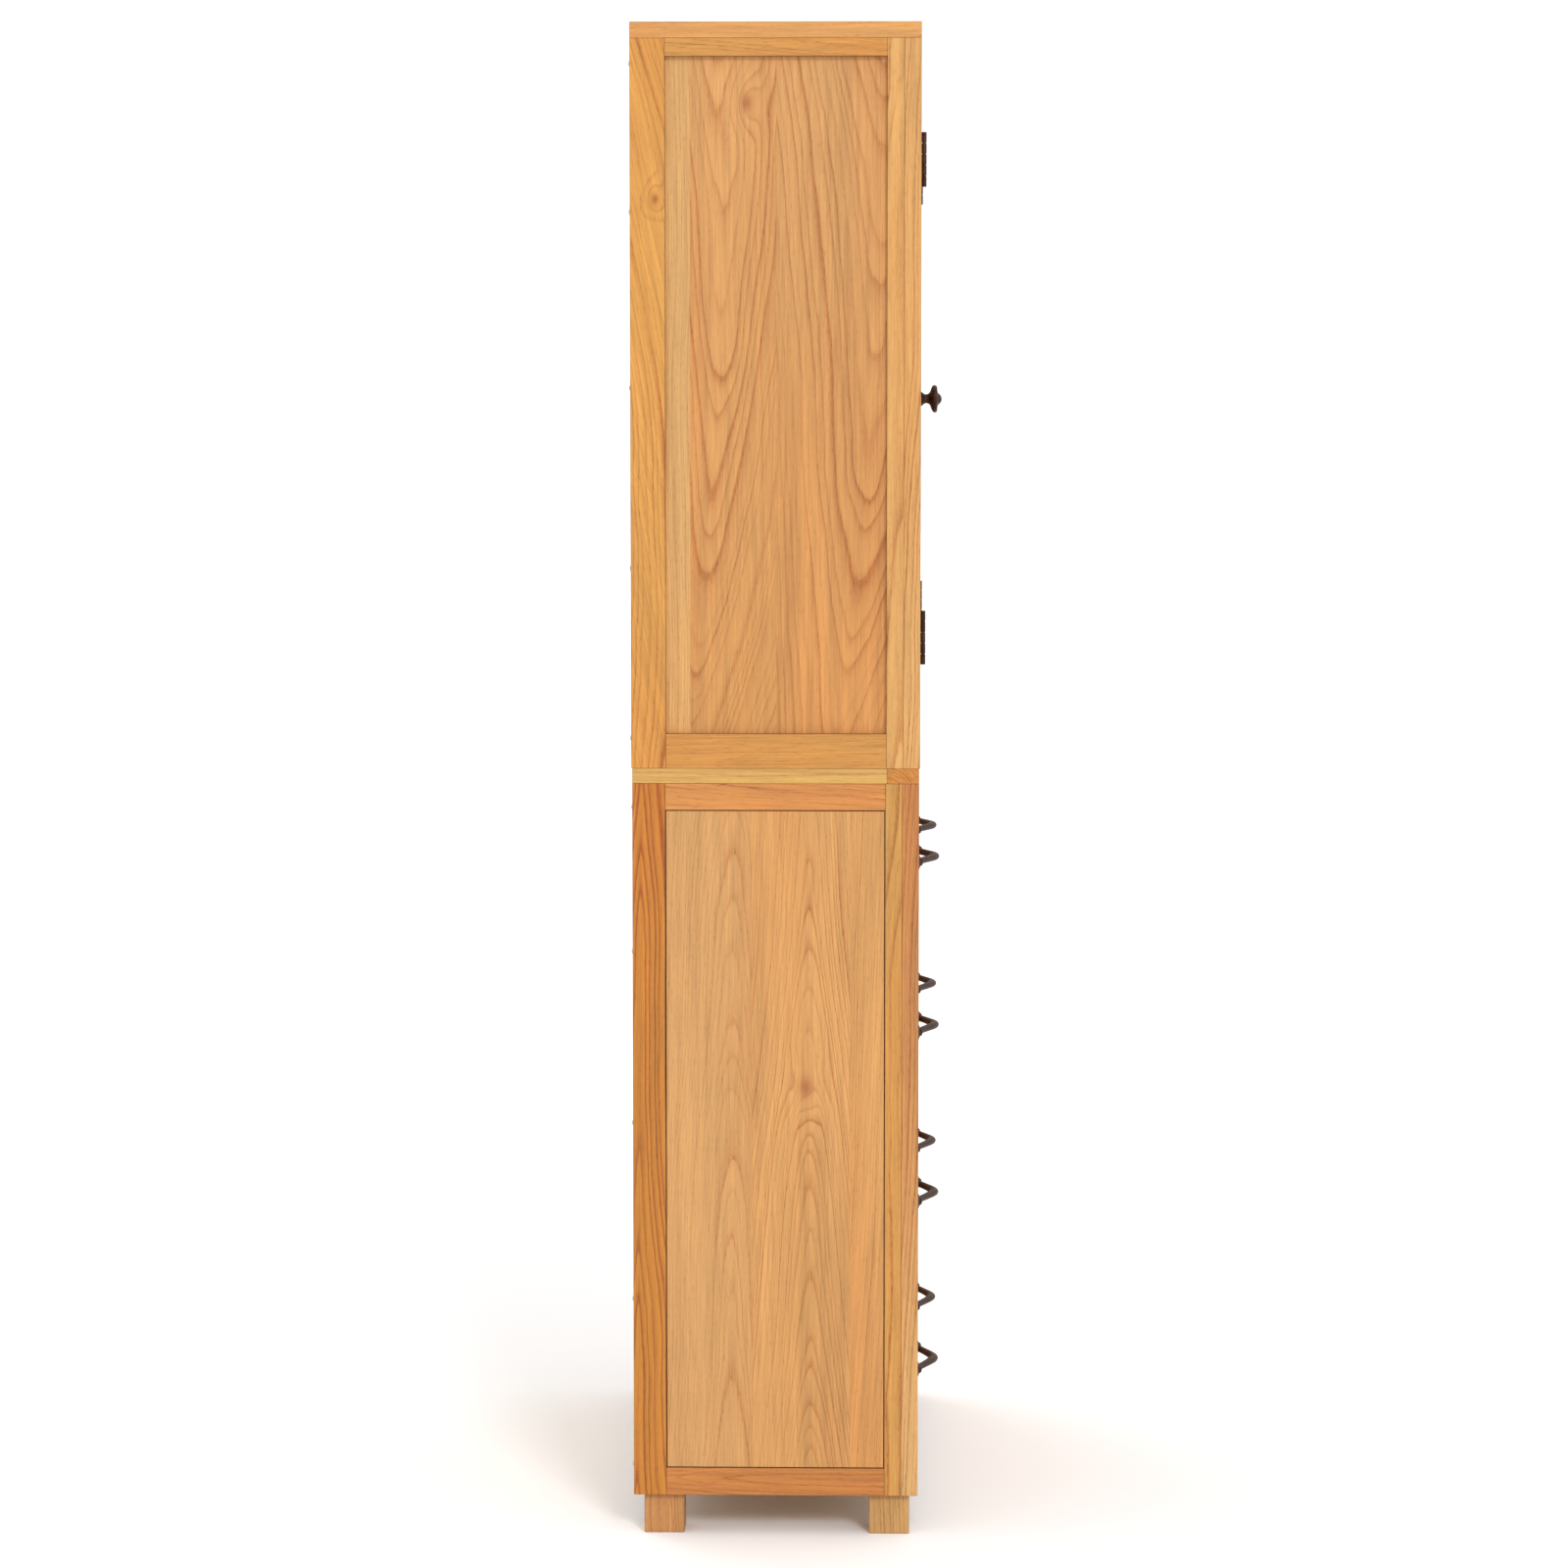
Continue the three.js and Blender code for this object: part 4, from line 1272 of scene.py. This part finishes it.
# %% Hinges
KNUCKLES = 5
KNUCKLE_GAP = 0.000375
BARREL = 0.003
LEAF = 0.001
LEAF_OFFSET = 0.00025
TAB_END = 0.001
PIN_RADIUS, PIN_TIP, PIN_EASE = 0.0015, 0.0012, 0.0003
BORE_RADIUS = 0.001875
PLATE_SET_BACK = 0.000375
LEAF_EASE, KNUCKLE_EASE = 0.0002, 0.0004
METAL_SMOOTH = 35
PLACES = [(hand, place) for hand in HANDS for place in ("top", "bottom")]


def eased_rod(length, radius, tip, ease):
    return [(0, tip), (ease, radius), (length - ease, radius), (length, tip)]


def add_leaf(hand, place, part, body, chosen):
    node = f"{hand}_{place}_hinge_{part}"
    low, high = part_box(node)
    sign = 1 if hand == "right" else -1
    axis = Vector(((low.x + high.x) / 2, low.y + BARREL, low.z))
    length = (high.z - low.z - (KNUCKLES - 1) * KNUCKLE_GAP) / KNUCKLES
    if part == "frame_leaf":
        near, far = axis.x + sign * LEAF_OFFSET, axis.x + sign * (LEAF_OFFSET + LEAF)
    else:
        near, far = axis.x - sign * (LEAF_OFFSET + LEAF), axis.x - sign * LEAF_OFFSET
    x0, x1 = min(near, far), max(near, far)
    plate_front = DOOR_FACE + PLATE_SET_BACK
    leaf = start_block(f"{hand}_{place}_{part}", (x0, plate_front, low.z), (x1, high.y, high.z))
    ease_edges(leaf, LEAF_EASE, 1)
    knuckle = eased_rod(length, BARREL, BARREL - KNUCKLE_EASE, KNUCKLE_EASE)
    extras = []
    for k in chosen:
        bottom = low.z + k * (length + KNUCKLE_GAP)
        extras.append(start_block("tab", (x0, axis.y, bottom), (x1, plate_front + TAB_END, bottom + length)))
        spot = (axis.x, axis.y, bottom)
        extras.append(turn_piece("knuckle", spot, "+z", knuckle, 32, METAL_SMOOTH))
    span = high.z - low.z
    if part == "frame_leaf":
        pin = eased_rod(span, PIN_RADIUS, PIN_TIP, PIN_EASE)
        extras.append(turn_piece("pin", axis, "+z", pin, 24, METAL_SMOOTH))
    combine(leaf, "UNION", extras)
    if part == "door_leaf":
        bore = [(-MM, BORE_RADIUS), (span + MM, BORE_RADIUS)]
        combine(leaf, "DIFFERENCE", [turn_piece("bore", axis, "+z", bore, 24, METAL_SMOOTH)])
    bpy.ops.object.shade_smooth_by_angle(angle=math.radians(METAL_SMOOTH))
    finish_piece(leaf, BRONZE, body, [node])


for hand, place in PLACES:
    add_leaf(hand, place, "frame_leaf", "cabinet", (0, 2, 4))
    add_leaf(hand, place, "door_leaf", f"{hand}_door", (1, 3))
print("hinge leaves: 8")

# %% [markdown]
# ## Screws
# Pan-head screws hold the backs. The head is turned, then a cross is cut into it. One is made and copied to
# every place: five up each edge of each unit.

# %% Screws
HEAD_OUTLINE = [(0.0, 3.5), (0.5, 3.5), (1.1, 3.3), (1.6, 2.7), (1.9, 1.7), (2.0, 0.3)]
BACK_SCREWS_BELOW_TOP = (0.029, 0.202, 0.408, 0.621, 0.822)
SCREW_EDGE = 0.00475
PAN_CROSS = (0.004, 0.0009, 0.0011)


def cut_cross(head, centre, axis, span, width, depth):
    """Cuts a cross recess in a screw head whose axis has the number given."""
    tools = []
    for long_axis in (a for a in range(3) if a != axis):
        half = Vector((width, width, width)) / 2
        half[long_axis] = span / 2
        half[axis] = depth
        tools.append(start_block("cross", centre - half, centre + half))
    return combine(head, "DIFFERENCE", tools)


def make_screw():
    head = turn_piece("screw", (0, 0, 0), "+y", in_metres(HEAD_OUTLINE), 24, 50)
    return cut_cross(head, Vector((0, SCREW_HEAD, 0)), 1, *PAN_CROSS)


screw = make_screw()
for unit in ("upper", "lower"):
    low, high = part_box(f"{unit}_back_panel")
    for hand, x in (("left", low.x + SCREW_EDGE), ("right", high.x - SCREW_EDGE)):
        for i, below in enumerate(BACK_SCREWS_BELOW_TOP):
            spot = (x, high.y - SCREW_HEAD, high.z - below)
            head = copy_to(screw, f"{unit}_back_screw_{hand}_{i + 1}", spot)
            finish_piece(head, STEEL, "cabinet")
bpy.data.objects.remove(screw)
print("back screws: 20")

# %% [markdown]
# ## Hinge screws
# Three countersunk screws hold each hinge leaf. Their heads lie almost flush, so that the leaves can close
# on each other. Each is turned, gets its cross, and is placed on the open face of its leaf.

# %% Hinge screws
FLAT_HEAD = [(0.0, 2.3), (0.08, 2.3), (0.14, 2.1), (0.14, 0.2)]
FLAT_HEAD_TOP = 0.00014
FLAT_CROSS = (0.0028, 0.0006, 0.00008)
LEAF_SCREWS = (0.16, 0.5, 0.84)


def add_leaf_screws(hand, place, part, body):
    node = f"{hand}_{place}_hinge_{part}"
    low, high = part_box(node)
    barrel_x = (low.x + high.x) / 2
    inward = -1 if hand == "right" else 1
    facing = inward if part == "frame_leaf" else -inward
    face_x = barrel_x - facing * LEAF_OFFSET
    axis = "+x" if facing > 0 else "-x"
    y = (DOOR_FACE + high.y) / 2
    for i, share in enumerate(LEAF_SCREWS):
        spot = Vector((face_x, y, low.z + (high.z - low.z) * share))
        name = f"{hand}_{place}_{part}_screw_{i + 1}"
        head = turn_piece(name, spot, axis, in_metres(FLAT_HEAD), 20, METAL_SMOOTH)
        cut_cross(head, spot + Vector((facing * FLAT_HEAD_TOP, 0, 0)), 0, *FLAT_CROSS)
        finish_piece(head, BRONZE, body)


for hand, place in PLACES:
    add_leaf_screws(hand, place, "frame_leaf", "cabinet")
    add_leaf_screws(hand, place, "door_leaf", f"{hand}_door")
print("hinge screws: 24")

# %% [markdown]
# ## Shelf pins
# Each shelf lies on four turned pins pushed into the sides, so it can be lifted out.

# %% Shelf pins
SHELF_PIN_OUTLINE = [(0.0, 2.5), (9.1, 2.5), (9.1, 3.5), (9.7, 3.5), (9.8, 2.5), (17.0, 2.5), (17.6, 2.0)]
SHELF_PIN_RADIUS = 0.0025
PIN_PLACES = (-0.128, 0.162)
PIN_STARTS = {"left": ("+x", -0.389), "right": ("-x", 0.389)}


def add_shelf_pins(shelf):
    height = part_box(shelf)[0].z - SHELF_PIN_RADIUS
    for hand, (axis, x) in PIN_STARTS.items():
        for i, y in enumerate(PIN_PLACES):
            spot = (x, y, height)
            name = f"{shelf}_pin_{hand}_{i + 1}"
            pin = turn_piece(name, spot, axis, in_metres(SHELF_PIN_OUTLINE), 20, METAL_SMOOTH)
            finish_piece(pin, STEEL, "cabinet")


add_shelf_pins("lower_shelf")
add_shelf_pins("upper_shelf")
print("shelf pins: 8")

# %% [markdown]
# ## Measure and finish
# The dressed cabinet's box is written beside the frame's, so that the two can be compared.

# %% Write the sizes
new_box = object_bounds()
for label, box in (("cad", cad_box), ("visual", new_box)):
    print(label, [[round(v, 4) for v in corner] for corner in box])
